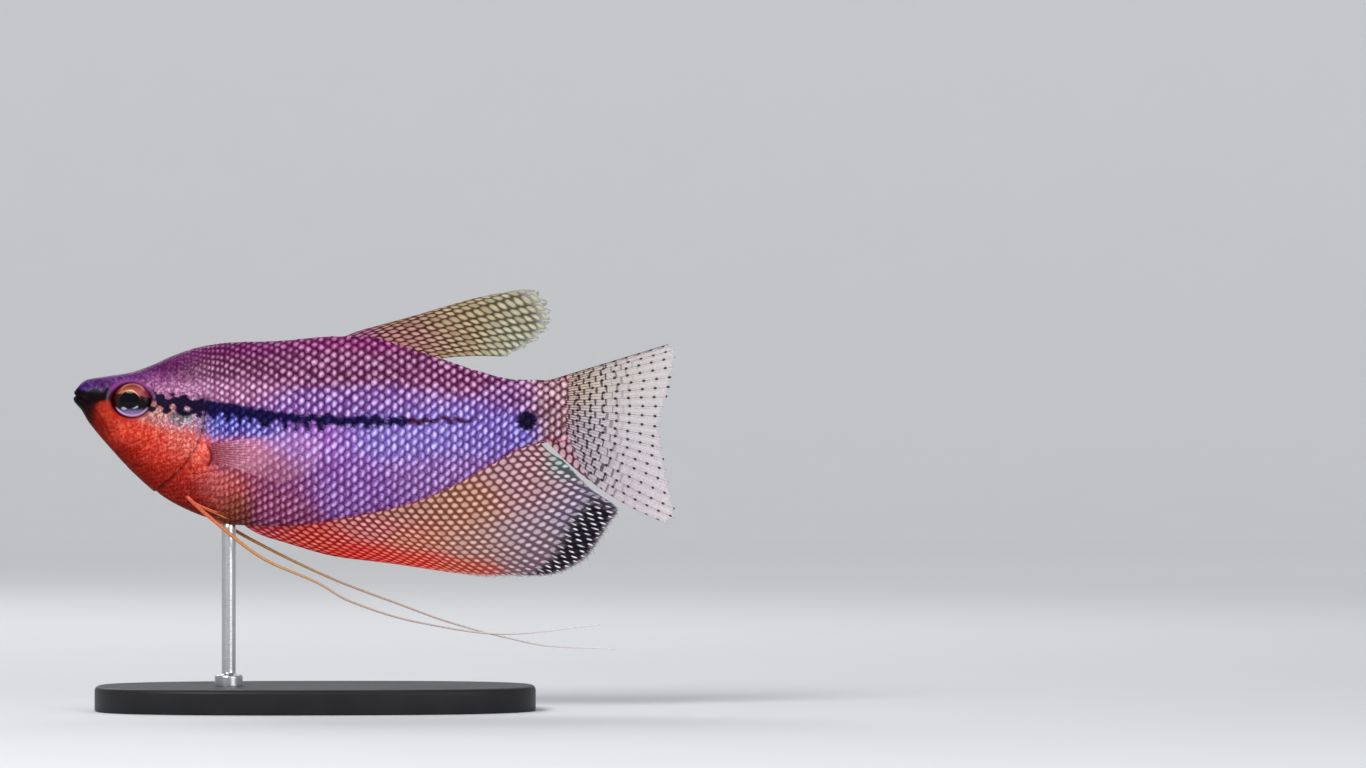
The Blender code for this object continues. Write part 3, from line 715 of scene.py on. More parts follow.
    def relief(self, x: Array, z: Array, behind: Array | None = None) -> Array:
        """The height of the head's folds over the plain body.

        It adds up a step at the gill opening that fades forwards, bell-shaped grooves along the bones of
        the cheek and the mouth with lips beside it, pits at the nostrils, and a sunk socket in a ring.

        Args:
            x: places along the fish.
            z: heights.
            behind: for each place, whether it belongs behind the gill opening. None reads the place.

        Returns:
            Heights in millimetres.
        """
        opening, share = line_distance(smooth_path(self.gill_opening, 90), x, z)
        opening = -opening
        if behind is not None:
            opening = np.where(behind, np.maximum(opening, 0.05), np.minimum(opening, -0.05))
        fade = step(0.13, 0.26, share) * step(1.0, 0.86, share)
        cover = 0.26 * np.exp(np.minimum(opening, 0.0) / 3.2) * step(0.05, -0.12, opening)
        groove = -0.26 * np.exp(-np.maximum(opening, 0.0) / 0.9) * step(-0.12, 0.05, opening)
        height = (cover + groove) * fade
        for line, starts, ends, ridge, ridge_at, ridge_wide, cut in (
                (self.preopercle, 0.15, 0.85, 0.12, 0.7, 0.9, 0.3),
                (self.cheek_fold, 0.08, 0.7, 0.1, -0.5, 0.6, 0.28)):
            off, share = line_distance(smooth_path(line, 60), x, z)
            shown = step(0.0, starts, share) * step(1.0, ends, share)
            height = height + shown * (ridge * bell(off - ridge_at, ridge_wide) - 0.2 * bell(off, cut))
        lip = z - smooth(self.mouth, x)
        gape = step(self.gape_corner_x + 0.6, self.gape_corner_x - 0.5, x)
        height = height + gape * (0.13 * bell(np.abs(lip) - 0.6, 0.4) - 0.24 * bell(lip, 0.12))
        jaw = step(0.1, -0.25, lip) * step(self.jaw_x + 1.6, self.jaw_x, x)
        height = height + jaw * 0.5 * bell(lip + 0.8, 1.1)
        for i, (pit_x, pit_z) in enumerate(self.nostrils):
            far = np.hypot(x - pit_x, z - pit_z)
            height = height + (0.14 - 0.06 * i) * bell(far - 0.42, 0.16) - 0.45 * bell(far, 0.26)
        far = self.from_eye(x, z)
        brow = 0.55 + 0.65 * np.clip((z - self.eye_z) / self.orbit_radius, -0.6, 1.0)
        height = height + 0.2 * brow * bell(far - self.orbit_radius, 0.3)
        height = height - 0.12 * bell(far - self.orbit_radius - 0.75, 0.35)
        height = height - self.socket_depth * step(self.socket_radius + 0.25, self.socket_radius - 0.25, far)
        far = np.hypot(x - self.fin_bump[0], (z - self.fin_bump[1]) / 1.25)
        return height + 0.5 * bell(far, 1.7)

    def from_eye(self, x: Array, z: Array) -> Array:
        """The distance from the eye's middle, measured so that its oval outline is a circle."""
        return np.hypot((x - self.eye_x) / self.eye_stretch[0], (z - self.eye_z) / self.eye_stretch[1])

    @staticmethod
    def lateral(normal: Array) -> Array:
        """How far a normal points sideways or forwards, where the head's relief shows fully."""
        return np.clip((np.abs(normal[..., 1]) + np.maximum(-normal[..., 0], 0.0)) * 1.7, 0.0, 1.0)


@dataclass(frozen=True)
class Markings:
    """The body's colours: zones of net and pearl colour, the dark stripe, and the ring round the eye, with
    painted shade in the gill groove and the eye's socket and a painted highlight on the eye's rim.
    """

    form: BodyForm
    zones: tuple[Zone, ...] = (
        Zone(-58.8, 65.6, 3.0, 1.2, "#2a0e40", "#6e4494", 0.6),
        Zone(-54.5, 65.9, 3.0, 1.4, "#3f1852", "#84589c", 0.6),
        Zone(-59.6, 61.8, 1.9, 2.0, "#0a0206", "#200a18", 0.35),
        Zone(-58.6, 64.7, 2.2, 1.0, "#2c1058", "#6a46a4", 0.7),
        Zone(-57.5, 58.6, 1.3, 2.4, "#1c0705", "#3e140c", 0.3),
        Zone(-50.5, 67.3, 5.0, 1.6, "#541e5e", "#9a62a4", 0.6),
        Zone(-43.0, 69.8, 6.0, 2.8, "#400a3c", "#80387a", 0.65),
        Zone(-43.0, 65.4, 3.2, 1.4, "#6e2a5e", "#bc7ea8", 0.8),
        Zone(-40.0, 64.1, 4.2, 1.0, "#84406e", "#dcb8d4", 0.9),
        Zone(-43.6, 59.2, 3.0, 1.6, "#94504e", "#ecc8bc"),
        Zone(-37.8, 57.8, 3.4, 1.5, "#805a74", "#e6c6d2"),
        Zone(-48.0, 55.6, 4.4, 2.0, "#b62410", "#f0705a", 0.8),
        Zone(-52.4, 58.9, 1.9, 1.6, "#ac260e", "#e6644a", 0.7),
        Zone(-38.5, 54.2, 3.4, 2.6, "#b44038", "#f2a094", 0.9),
        Zone(-43.5, 52.2, 4.0, 2.4, "#ae1a0c", "#f06a56", 0.8),
        Zone(-34.3, 50.9, 1.7, 2.3, "#d63a22", "#fa9a80", 0.7),
        Zone(-39.0, 48.2, 4.0, 2.2, "#941409", "#e25a48", 0.75),
        Zone(-50.0, 50.8, 4.2, 2.8, "#690a04", "#9c2210", 0.5),
        Zone(-45.0, 46.6, 4.2, 2.2, "#6e0c06", "#a42a1a", 0.5),
        Zone(-54.6, 56.4, 1.9, 2.6, "#640803", "#961e0e", 0.45),
        Zone(-37.5, 42.6, 6.5, 2.8, "#72120c", "#b8382a", 0.6),
        Zone(-29.5, 45.2, 4.2, 3.2, "#aa3e3c", "#ee9a9c", 0.75),
        Zone(-27.6, 40.8, 3.2, 2.6, "#6a2e1c", "#ac6a50", 0.65),
        Zone(-19.0, 40.6, 4.4, 2.8, "#84345c", "#d894ba", 0.9),
        Zone(-29.6, 57.2, 4.0, 2.4, "#342c86", "#a6acf8"),
        Zone(-22.0, 56.0, 4.5, 1.8, "#4c3f98", "#b4b8fa"),
        Zone(-27.0, 51.4, 4.8, 2.6, "#b85078", "#fabcd4", 0.9),
        Zone(-22.5, 48.4, 4.0, 2.6, "#9a4866", "#e09cbc", 0.85),
        Zone(-29.0, 63.8, 6.5, 2.2, "#844a70", "#d4a8cc"),
        Zone(-30.0, 68.4, 7.0, 2.2, "#521a3c", "#ae7c9a", 0.9),
        Zone(-29.0, 72.4, 9.0, 1.8, "#561248", "#a2548e", 0.8),
        Zone(-8.0, 68.6, 11.0, 3.2, "#581c44", "#c08eb4"),
        Zone(-5.0, 73.4, 9.0, 1.6, "#5e1046", "#bc62a0", 0.9),
        Zone(16.0, 66.8, 8.5, 2.6, "#5a1b46", "#ca92be"),
        Zone(-2.0, 61.8, 13.0, 2.2, "#643880", "#ccace4"),
        Zone(-14.0, 53.8, 6.5, 3.6, "#8c56a8", "#d6acea"),
        Zone(-18.0, 45.8, 5.4, 3.8, "#80365a", "#ca84aa", 0.85),
        Zone(-7.0, 46.0, 8.5, 3.8, "#7c4898", "#d0a8e6"),
        Zone(8.0, 54.6, 9.5, 4.2, "#7660b2", "#ccbcf8"),
        Zone(12.0, 48.0, 9.0, 2.8, "#80549a", "#d8b2e8"),
        Zone(23.5, 56.2, 5.0, 3.8, "#6a4ea2", "#c6b4f4"),
        Zone(30.2, 56.0, 2.4, 2.6, "#5846a0", "#beb6fa"),
        Zone(27.5, 62.6, 5.0, 2.6, "#56205a", "#cda2d2"),
        Zone(34.5, 59.5, 3.2, 8.0, "#643644", "#d8b0b6"),
    )
    stripe_line: Rows = (
        (-60.1, 62.6), (-57.0, 62.7), (-53.0, 63.0), (-44.0, 61.9), (-33.0, 60.6), (-25.0, 59.3),
        (-15.0, 58.1), (3.0, 57.8), (15.0, 58.0), (23.0, 58.4))
    stripe_half: Rows = (
        (-60.1, 1.5), (-57.5, 1.15), (-53.0, 1.1), (-47.0, 1.1), (-33.0, 1.4), (-25.0, 1.3),
        (-15.0, 1.15), (-5.0, 1.0), (5.0, 0.85), (7.0, 0.6), (15.0, 0.5), (19.0, 0.3), (23.0, 0.0))
    tail_spot: Triple = (30.2, 57.8, 1.9)
    cheek_patch: tuple[float, ...] = (-38.4, 58.6, 3.2, 1.8)
    fin_crescent: Triple = (-34.7, 50.9, 2.1)
    inks: tuple[str, ...] = ("#0c0305", "#050320", "#070434", "#3a0a28")
    finger_gap: float = 2.75
    belly_edge: float = 1.6
    head_end_x: float = -34.2

    def net(self, x: Array, z: Array) -> Array:
        """How clearly the dark net between the scales shows: little on the head and breast."""
        return 0.08 + 0.92 * step(-37.0, -28.0, x + 0.22 * (z - 57.0))

    def stripe(self, x: Array, z: Array, chance: Array) -> Array:
        """The share of the dark stripe: clean before the eye, blotched behind it, ragged on the flank.

        Args:
            x: places along the fish.
            z: heights.
            chance: a random number from 0 to 1 for each scale, or 0.5 on the skin.

        Returns:
            Numbers from 0 to 1.
        """
        off = z - smooth(self.stripe_line, x)
        half = smooth(self.stripe_half, x)
        fingers = np.sin(x * (2 * math.pi / self.finger_gap) + 1.3 * ripple(x, 0.0 * z, 9.0, 21))
        ragged = off + (chance - 0.5) * 0.45 + 0.3 * ripple(x, 0.6 * z, 2.2, 5)
        deep = (0.7 + 0.6 * step(-8.0, -16.0, x)) * step(6.0, 0.0, x)
        reach = half + np.where(off < 0, fingers * deep, 0.0)
        flank = step(0.3, -0.3, np.abs(ragged) - np.maximum(reach, 0.55 * half)) * (half > 0.02)
        front = step(half + 0.5, half - 0.3, np.abs(off) + 0.25 * ripple(x, z, 1.6, 4))
        blotched = bell(off + 0.15, 2.3) * (1.0 + 0.5 * ripple(x, z, 2.3, 3) + 0.12 * ripple(x, z, 0.9, 8))
        cheek = step(0.5, 0.64, blotched)
        on_head = step(self.head_end_x + 0.6, self.head_end_x, x)
        before_eye = step(self.form.eye_x + 1.0, self.form.eye_x - 1.0, x)
        return flank * (1 - on_head) + on_head * (front * before_eye + cheek * (1 - before_eye))

    def paint(self, x: Array, z: Array, chance: Array) -> tuple[Array, Array]:
        """Colours places of the body.

        Args:
            x: places along the fish.
            z: heights.
            chance: a random number from 0 to 1 for each scale, or 0.5 on the skin.

        Returns:
            Ground colours with the net's strength as their fourth value, and spot colours with the spots'.
        """
        form = self.form
        ground, spot, strength = blend_zones(self.zones, x, z)
        belly = step(self.belly_edge, 0.0, z - smooth(form.belly_line, x)) * step(-24.0, -14.0, x)
        ground = lay(ground, "#8a1c3c", 0.75 * belly)
        spot = lay(spot, "#d47498", 0.65 * belly)
        patch_x, patch_z, long, tall = self.cheek_patch
        grey = bell(np.hypot((x - patch_x) / long, (z - patch_z) / tall), 1.0)
        grey = step(0.5, 0.75, grey * (1.0 + 0.5 * ripple(x, z, 1.5, 11)))
        ground = lay(ground, "#344044", 0.85 * grey)
        spot = lay(spot, "#8ea2a2", 0.7 * grey)
        dark = self.stripe(x, z, chance)
        *inks, last = [linear(ink) for ink in self.inks]
        ink = np.select([(x < end)[..., None] for end in (-50.0, self.head_end_x, 6.2)], inks, last)
        ground = ground + (ink - ground) * (dark * 0.98)[..., None]
        spot = lay(spot, "#231a52", dark * step(-50.0, -38.0, x) * 0.96)
        spot = lay(spot, "#161030", dark * step(-32.0, -36.0, x) * 0.8)
        spot = lay(spot, "#120614", dark * step(-38.0, -50.0, x))
        strength = strength * (1.0 - 0.85 * dark)
        mark_x, mark_z, radius = self.tail_spot
        ragged = (chance - 0.5) * 1.2
        mark_far = np.hypot(x - mark_x, z - mark_z) + ragged * 0.3 + 0.2 * ripple(x, z, 1.4, 6)
        mark = step(radius * 1.1, radius * 0.9, mark_far)
        ground = lay(ground, "#08041c", 0.97 * mark)
        spot = lay(spot, "#1c1038", 0.95 * mark)
        strength = strength * (1.0 - 0.95 * mark)
        # Painted shade: a dark line in the groove just behind the gill cover's edge, strongest on its middle
        # stretch.
        opening, share = line_distance(smooth_path(form.gill_opening, 90), x, z)
        fade = step(0.13, 0.2, share) * step(0.95, 0.6, share)
        upper = step(52.5, 56.5, z) * step(64.0, 61.5, z)
        ground = lay(ground, "#12081c", (0.2 + 0.65 * upper) * bell(-opening - 0.1, 0.24) * fade)
        fin_x, fin_z, radius = self.fin_crescent
        crescent = bell(np.hypot(x - fin_x, (z - fin_z) / 1.15) - radius, 0.28) * step(-33.8, -33.2, x)
        ground = lay(ground, "#5c0a0c", 0.85 * crescent)
        spot = lay(spot, "#7c1a18", 0.85 * crescent)
        far = form.from_eye(x, z)
        up = step(0.6, 2.6, z - form.eye_z)
        ground = lay(ground, "#8c3a84", 0.7 * bell(far - 4.2, 0.4) * up)
        # Painted highlight: a pale lavender line on the orbit's rim, in front of and behind the eye at its
        # height.
        level = bell(z - form.eye_z - 0.8, 1.6) * step(3.0, 3.8, np.abs(x - form.eye_x))
        ground = lay(ground, "#a88cac", 0.25 * bell(far - 4.3, 0.22) * level)
        # Painted shade: a dark ring on the socket's wall round the eyeball.
        ground = lay(ground, "#5a1024", step(3.86, 3.66, far))
        strength = strength * step(3.9, 4.5, far) * (1.0 - crescent)
        net = self.net(x, z)
        return with_fourth(ground, net), with_fourth(spot, strength)


def lay(under: Array, colour: str, share: Array) -> Array:
    """Lays a colour over others by a share.

    Args:
        under: linear colours.
        colour: the colour laid over them.
        share: how much of it covers each.

    Returns:
        The mixed colours.
    """
    return under + (linear(colour) - under) * share[..., None]


@dataclass(frozen=True)
class SkinFinish:
    """Wet bare skin: mottled between its two painted colours, with fine pores."""

    mottle_scale: float = 1.5
    pore_scale: float = 5.0
    roughness: float = 0.4
    coat: float = 0.03

    def material(self) -> Material:
        """Builds the material.

        Returns:
            The material, which reads the attributes ground and spot.
        """
        g = Graph("wet_skin")
        place = g.place()
        ground, net = g.painted("ground")
        spot, strength = g.painted("spot")
        warp = g.swirl(place)
        mottle = g.noise(warp, self.mottle_scale, 3.0, 0.55)
        vein = 1.0 - abs(g.noise(warp, self.mottle_scale * 0.8, 2.0) - 0.5).between(0.0, 0.09)
        share = (mottle.between(0.42, 0.68) * 0.8 + vein * 0.2) * strength * (1.0 - net)
        colour = g.mix(share, ground, spot)
        shade = g.noise(place, 0.55, 3.0).between(0.3, 0.72)
        colour = g.tinted(colour, (0.42, 0.32, 0.36), 0.4 - shade * 0.4 + net * 0.5)
        pores = g.noise(place, self.pore_scale, 2.0)
        height = mottle * 0.5 + pores * 0.35
        return g.dress(Base_Color=colour, Roughness=self.roughness + pores * 0.12 - share * 0.06,
                       Coat_Weight=self.coat + share * 0.1, Coat_Roughness=0.2, Specular_IOR_Level=0.035,
                       Normal=g.bump(height, 0.07, 0.5))


@dataclass(frozen=True)
class ScaleFinish:
    """Overlapping scales: a dark hind edge that makes the net, and a pearl on each, some with a painted
    highlight in its middle.
    """

    pearl_wide: float = 0.25
    pearl_tall: float = 0.56
    pearl_at: float = 0.62
    lean: float = 0.3
    roughness: float = 0.42

    def material(self) -> Material:
        """Builds the material.

        Returns:
            The material, which reads the attributes ground, spot and on_scale.
        """
        g = Graph("pearl_scales")
        place = g.place()
        ground, net = g.painted("ground")
        spot, strength = g.painted("spot")
        along, across, chance = g.attribute("on_scale")
        second, third = (chance * 7.13).fraction(), (chance * 31.7).fraction()
        x, _, z = g.parts(place)
        back, stalk = z.between(59.5, 63.5), x.between(25.0, 33.0)
        wobble = (g.noise(place, 1.7, 3.0) - 0.5) * 1.5
        size = 0.74 + chance * 0.4
        off = along - self.pearl_at - across * (self.lean * (1.4 - back) * second) + (third - 0.5) * 0.16
        wide = off / (size * self.pearl_wide * (0.8 + second * 0.45) * (1.0 + back * 0.35 + stalk * 0.4))
        tall = (across + (second - 0.5) * 0.25) / (size * self.pearl_tall * (1.0 - back * 0.1 + stalk * 0.15))
        reach = (wide * wide + tall * tall) ** 0.5 + wobble
        halo, core = reach.between(1.9, 0.8), reach.between(1.25, 0.3)
        shown = strength * net
        dim = 0.5 + third * 0.5
        rim = (1.2 - across * across * 0.42 - along).between(0.34, 0.04)
        spot = g.tinted(spot, (0.78, 0.88, 1.06), second * net * (1.0 - back) * 0.6)
        mottle = g.noise(g.swirl(place), 1.4, 3.0, 0.55)
        grain = g.noise(place, 3.2, 4.0, 0.65)
        worn = g.tinted(ground, (0.42, 0.3, 0.42), (rim * 0.6 + (1.0 - halo) * 0.12) * net)
        patch = mottle.between(0.42, 0.68) * strength * (1.0 - net)
        worn = g.mix(patch * 0.85 + grain.between(0.35, 0.8) * 0.12, worn, spot)
        colour = g.mix(halo * 0.4 * shown * dim, worn, spot)
        colour = g.mix(core * shown * dim, colour, spot)
        # Painted highlight: a lighter copy of the pearl colour laid on the middle of some pearls.
        painted_highlight = g.mix(1.0, spot, (0.13, 0.12, 0.14, 1.0), "ADD")
        colour = g.mix(reach.between(0.7, 0.05) * shown * chance.between(0.2, 0.9) * 0.7, colour, painted_highlight)
        rings = (along * 24.0 + across * across * 9.0).math("SINE") * 0.5 + 0.5
        relief = core * shown * 0.12 + rings * 0.05 + grain * 0.25 - rim * net * 0.3
        return g.dress(Base_Color=colour, Roughness=self.roughness - core * shown * 0.12 + grain * 0.08,
                       Coat_Weight=0.01 + core * shown * 0.22, Coat_Roughness=0.16, Specular_IOR_Level=0.035,
                       Normal=g.bump(relief, 0.06, 0.5))


@dataclass(frozen=True)
class Skin:
    """The one skin from snout to tail root, in place of the nodes of flesh."""

    form: BodyForm
    markings: Markings
    depth: float = 0.12
    nose_stations: int = 22
    head_end_x: float = -31.0
    head_spacing: float = 0.135
    body_spacing: float = 0.5
    upper_sides: int = 54
    lower_sides: int = 78

    def stations(self) -> Array:
        """Places of the rings: even round the nose, close on the head and wider behind it.

        Returns:
            Places along the fish, from the snout to the tail.
        """
        start = self.form.snout_x + self.depth
        turn = np.linspace(0.06, math.pi / 2, self.nose_stations)
        nose = start + self.form.nose_length * (1.0 - np.cos(turn))
        head = np.arange(nose[-1] + self.head_spacing, self.head_end_x, self.head_spacing)
        body = np.arange(head[-1] + self.body_spacing, self.form.skin_end_x, self.body_spacing)
        return np.concatenate([nose, head, body])

    def turns(self) -> Array:
        """Angles once round the section, alike on both sides and closest where it is widest.

        Returns:
            Angles from the back over the right side to the belly and up again.
        """
        half = math.pi / 2
        down = np.concatenate([np.linspace(0.0, half, self.upper_sides, endpoint=False),
                               np.linspace(half, math.pi, self.lower_sides)])
        return np.concatenate([down, 2 * math.pi - down[-2:0:-1]])

    def build(self) -> Piece:
        """Builds the skin: rings of the section pushed out along its normals by the relief.

        Returns:
            The piece.
        """
        x, turn = self.stations(), self.turns()
        x_grid, turn_grid = np.meshgrid(x, turn, indexing="ij")
        points = self.form.at_turn(x_grid, turn_grid, -self.depth)
        normal = self.form.normal(x_grid, turn_grid)
        points += normal * (self.form.relief(x_grid, points[..., 2]) * self.form.lateral(normal))[..., None]
        ground, spot = self.markings.paint(x_grid, points[..., 2], np.full(x_grid.shape, 0.5))
        rows, columns = x_grid.shape
        flat = points.reshape(-1, 3)
        caps = np.array([flat[:columns].mean(axis=0), flat[-columns:].mean(axis=0)])
        caps[0, 0] = self.form.snout_x + self.depth
        attributes = {}
        for key, values in (("ground", ground), ("spot", spot)):
            values = values.reshape(-1, 4)
            attributes[key] = np.vstack([values, values[:1], values[-1:]])
        faces = capped_faces(rows, columns, turned=True)
        piece = new_piece("skin", np.vstack([flat, caps]), faces, attributes)
        self.unwrap(piece, rows, columns)
        settle(piece, SkinFinish().material(), "flesh", "head", "lower_jaw", "gill_cover_left",
               "gill_cover_right", "torso", "tail_stalk")
        return piece

    def unwrap(self, piece: Piece, rows: int, columns: int) -> None:
        """Unrolls the skin: u runs along the fish, v once round it, and the two caps lie beside it.

        Args:
            piece: the skin.
            rows: how many rings it has.
            columns: points in each ring.
        """
        margin = 0.02
        row, column = np.divmod(np.arange(rows * columns), columns)
        u = margin + (1 - 2 * margin) * (row + 1) / (rows + 1)
        v = margin + (1 - 2 * margin) * column / columns
        u = np.concatenate([u, [margin, 1 - margin]])
        v = np.concatenate([v, [0.5, 0.5]])
        loops = corner_points(piece)
        corner_v = v[loops]
        quads = (rows - 1) * columns * 4
        square = corner_v[:quads].reshape(-1, 4)
        wrapped = (square.max(axis=1) - square.min(axis=1)) > 0.5
        square[wrapped] = np.where(square[wrapped] < 0.5, square[wrapped] + (1 - 2 * margin), square[wrapped])
        fan = corner_v[quads:].reshape(-1, 3)
        is_tip = loops[quads:].reshape(-1, 3) >= rows * columns
        wrapped = (np.where(is_tip, 0.5, fan).max(axis=1) - np.where(is_tip, 0.5, fan).min(axis=1)) > 0.9
        fan[wrapped] = np.where(is_tip[wrapped], 0.5, 1 - margin)
        add_unwrap(piece, np.column_stack([u[loops], np.concatenate([square.ravel(), fan.ravel()])]))


@dataclass(frozen=True)
class Scales:
    """The coat of scales of one side, in staggered columns from cheek to tail."""

    form: BodyForm
    markings: Markings
    side: Side
    first_x: float = -50.5
    last_x: float = 36.0
    column_step: float = 1.36
    row_step: float = 2.1
    sizes: Rows = (
        (-51.0, 0.42), (-40.0, 0.48), (-35.0, 0.58), (-30.0, 0.74), (-20.0, 0.88), (-8.0, 0.98),
        (5.0, 0.98), (20.0, 0.92), (30.0, 0.88), (37.0, 0.86))
    steps: int = 6
    edge_drop: float = 0.9
    roundness: float = 0.92
    hind_reach: float = 1.25
    front_reach: float = 1.6
    depth: float = 0.12
    sunk: float = 0.09
    lift: float = 0.19
    side_fall: float = 0.06
    front_thickness: float = 0.03
    hind_thickness: float = 0.08
    jitter: float = 0.06
    patch: Pair = (0.76, 0.42)
    half_rows: int = 34
    eye_clear: float = 5.7
    gill_clear: Pair = (0.25, 0.3)
    gill_top: float = 63.4
    snout_corner: Pair = (-46.5, 63.0)
    chin_line: Triple = (-56.5, 60.0, 1.15)
    fin_root: tuple[float, ...] = (-33.4, 51.0, 2.0, 2.6)
    seed: int = 7

    def lattice(self) -> dict[str, Array]:
        """Places the scales' roots.

        Columns follow each other by the column step times the local size, rows by the row step, and every
        second column is shifted by half a row. Rows count from the widest height, up and down.

        Returns:
            Arrays by name: x, arc, size, column and row for each scale.
        """
        columns = [self.first_x]
        while columns[-1] < self.last_x:
            columns.append(columns[-1] + self.column_step * float(smooth(self.sizes, columns[-1])))
        x = np.array(columns)
        size = smooth(self.sizes, x)
        rows = np.arange(-self.half_rows, self.half_rows + 1)
        row = rows[None, :] + 0.5 * (np.arange(len(x)) % 2)[:, None]
        arc = row * self.row_step * size[:, None]
        found = {"x": x[:, None], "arc": arc, "column": np.arange(len(x))[:, None], "row": row,
                 "size": size[:, None]}
        return {key: np.broadcast_to(values, arc.shape).ravel() for key, values in found.items()}

    def turn_at(self, table: tuple[Array, ...], x: Array, arc: Array) -> Array:
        """Finds the turn at a way up or down the side from the widest height.

        Args:
            table: what BodyForm.arc_table() returned.
            x: places along the fish.
            arc: lengths up the side. Past a ridge they go on down the other side.

        Returns:
            The turns.
        """
        stations, whole, down, turns = table
        length = np.interp(x, stations, whole)
        share = (np.interp(x, stations, down) - arc) / length
        over, under = share < 0.0, share > 1.0
        folded = np.where(over, -share, np.where(under, 2.0 - share, share))
        i = np.clip(np.interp(x, stations, np.arange(len(stations))), 0, len(stations) - 1.001)
        j = np.clip(folded, 0.0, 1.0) * (turns.shape[1] - 1.001)
        i0, j0 = i.astype(int), j.astype(int)
        fi, fj = i - i0, j - j0
        turn = ((turns[i0, j0] * (1 - fj) + turns[i0, j0 + 1] * fj) * (1 - fi)
                + (turns[i0 + 1, j0] * (1 - fj) + turns[i0 + 1, j0 + 1] * fj) * fi)
        return np.where(over, -turn, np.where(under, 2 * math.pi - turn, turn))

    def kept(self, found: dict[str, Array], table: tuple[Array, ...]) -> dict[str, Array]:
        """Drops scales past the ridges, on snout and chin, and at the eye, gill opening and pectoral fin.

        Args:
            found: what lattice() returned.
            table: what BodyForm.arc_table() returned.

        Returns:
            The scales left, with each one's height, and whether it lies behind the gill opening.
        """
        stations, whole, down, _ = table
        top = np.interp(found["x"], stations, down)
        bottom = np.interp(found["x"], stations, whole) - top
        inside = (found["arc"] <= top + 0.1) & (found["arc"] >= -bottom - 0.1)
        found = {key: values[inside] for key, values in found.items()}
        turn = self.turn_at(table, found["x"], found["arc"])
        x, z = found["x"], self.form.at_turn(found["x"], turn)[:, 2]
        eye = np.hypot(x - self.form.eye_x, z - self.form.eye_z)
        opening = -line_distance(smooth_path(self.form.gill_opening, 90), x, z)[0]
        reach = self.column_step * found["size"] * self.hind_reach
        before, after = self.gill_clear
        covered = (z < self.gill_top) & (opening > -reach - before) & (opening < after)
        snout = (x < self.snout_corner[0]) & (z > self.snout_corner[1])
        chin_x, chin_z, fall = self.chin_line
        chin = (z < chin_z - (x - chin_x) * fall) & (x < -47.0)
        root_x, root_z, long, tall = self.fin_root
        fin_root = np.hypot((x - root_x) / long, (z - root_z) / tall) < 1.0
        keep = (eye > self.eye_clear) & ~covered & ~snout & ~chin & ~fin_root
        found = {key: values[keep] for key, values in found.items()}
        found["behind"] = opening[keep] > 0.0
        found["z"] = z[keep]
        return found

    def build(self) -> Piece:
        """Builds the coat: each scale is a shield with a rounded hind edge, sunk in front and lifted behind.

        A scale's grid runs a from front to back and b across, both -1 to 1. Its places are shifted by
        (a + 1) / 2 of the way from the front reach to the hind reach, in columns, and by b half rows across.
        The hind edge drops forwards like an ellipse, by edge_drop (1 - sqrt(1 - roundness b^2)). Its height
        rises with a and falls to its sides with b^2. An under side closes it.

        Returns:
            The piece.
        """
        table = self.form.arc_table()
        found = self.kept(self.lattice(), table)
        draw = np.random.default_rng(self.seed + self.side.value)
        count = len(found["x"])
        chance = draw.uniform(0.0, 1.0, count)
        jitter = draw.normal(0.0, self.jitter, (count, 2))
        tilt = draw.normal(0.0, self.jitter, count)
        a, b = np.meshgrid(np.linspace(-1, 1, self.steps), np.linspace(-1, 1, self.steps), indexing="ij")
        a, b = a.ravel(), b.ravel()
        column = (self.column_step * found["size"])[:, None]
        row = (self.row_step * found["size"] / 2)[:, None]
        drop = self.edge_drop * (1 - np.sqrt(1 - self.roundness * b * b))
        along = -self.front_reach + (a + 1) / 2 * (self.front_reach + self.hind_reach - drop)
        across = 1.05 * b * (1 - 0.14 * np.maximum(a, 0.0) ** 2)
        x = found["x"][:, None] + column * (along + jitter[:, :1] + tilt[:, None] * across)
        arc = found["arc"][:, None] + row * (across + jitter[:, 1:] - 0.3 * tilt[:, None] * along)
        rise = (a + 1) / 2
        height = -self.sunk + self.lift * rise**1.3 - self.side_fall * b * b * (0.4 + 0.6 * rise)
        under = height - self.front_thickness - (self.hind_thickness - self.front_thickness) * rise
        size = found["size"][:, None]
        rim = rim_of(self.steps, self.steps)
        x = np.concatenate([x, x[:, rim], x.mean(axis=1, keepdims=True)], axis=1)
        arc = np.concatenate([arc, arc[:, rim], arc.mean(axis=1, keepdims=True)], axis=1)
        flatter = size * np.interp(size, [0.46, 0.8], [0.45, 1.0])
        height = np.concatenate([height, under[rim], [under.mean()]]) * flatter
        turn = self.turn_at(table, x, arc)
        points = self.form.at_turn(x, turn, -self.depth)
        normal = self.form.normal(x, turn)
        behind = np.broadcast_to(found["behind"][:, None], x.shape)
        relief = self.form.relief(x, points[..., 2], behind) * self.form.lateral(normal)
        points = points + normal * (height + relief)[..., None]
        points[..., 1] *= self.side.value
        each = points.shape[1]
        grid, skirt, fan = self.faces(rim)
        if self.side is Side.LEFT:
            grid, skirt, fan = grid[:, ::-1], skirt[:, ::-1], fan[:, ::-1]
        start = (np.arange(count) * each)[:, None, None]
        faces = [(part[None] + start).reshape(-1, part.shape[1]) for part in (grid, skirt, fan)]
        full_along = np.concatenate([along, along[rim], [along.mean()]])
        full_across = np.concatenate([across, across[rim], [0.0]])
        on_scale = together(full_along, full_across, chance[:, None])
        ground, spot = self.markings.paint(x, points[..., 2], on_scale[..., 2])
        attributes = {"ground": ground.reshape(-1, 4), "spot": spot.reshape(-1, 4),
                      "on_scale": on_scale.reshape(-1, 3)}
        piece = new_piece(f"scales_{self.side.word}", points.reshape(-1, 3), faces, attributes)
        self.unwrap(piece, found, full_along, full_across)
        settle(piece, ScaleFinish().material(), "flesh")
        return piece

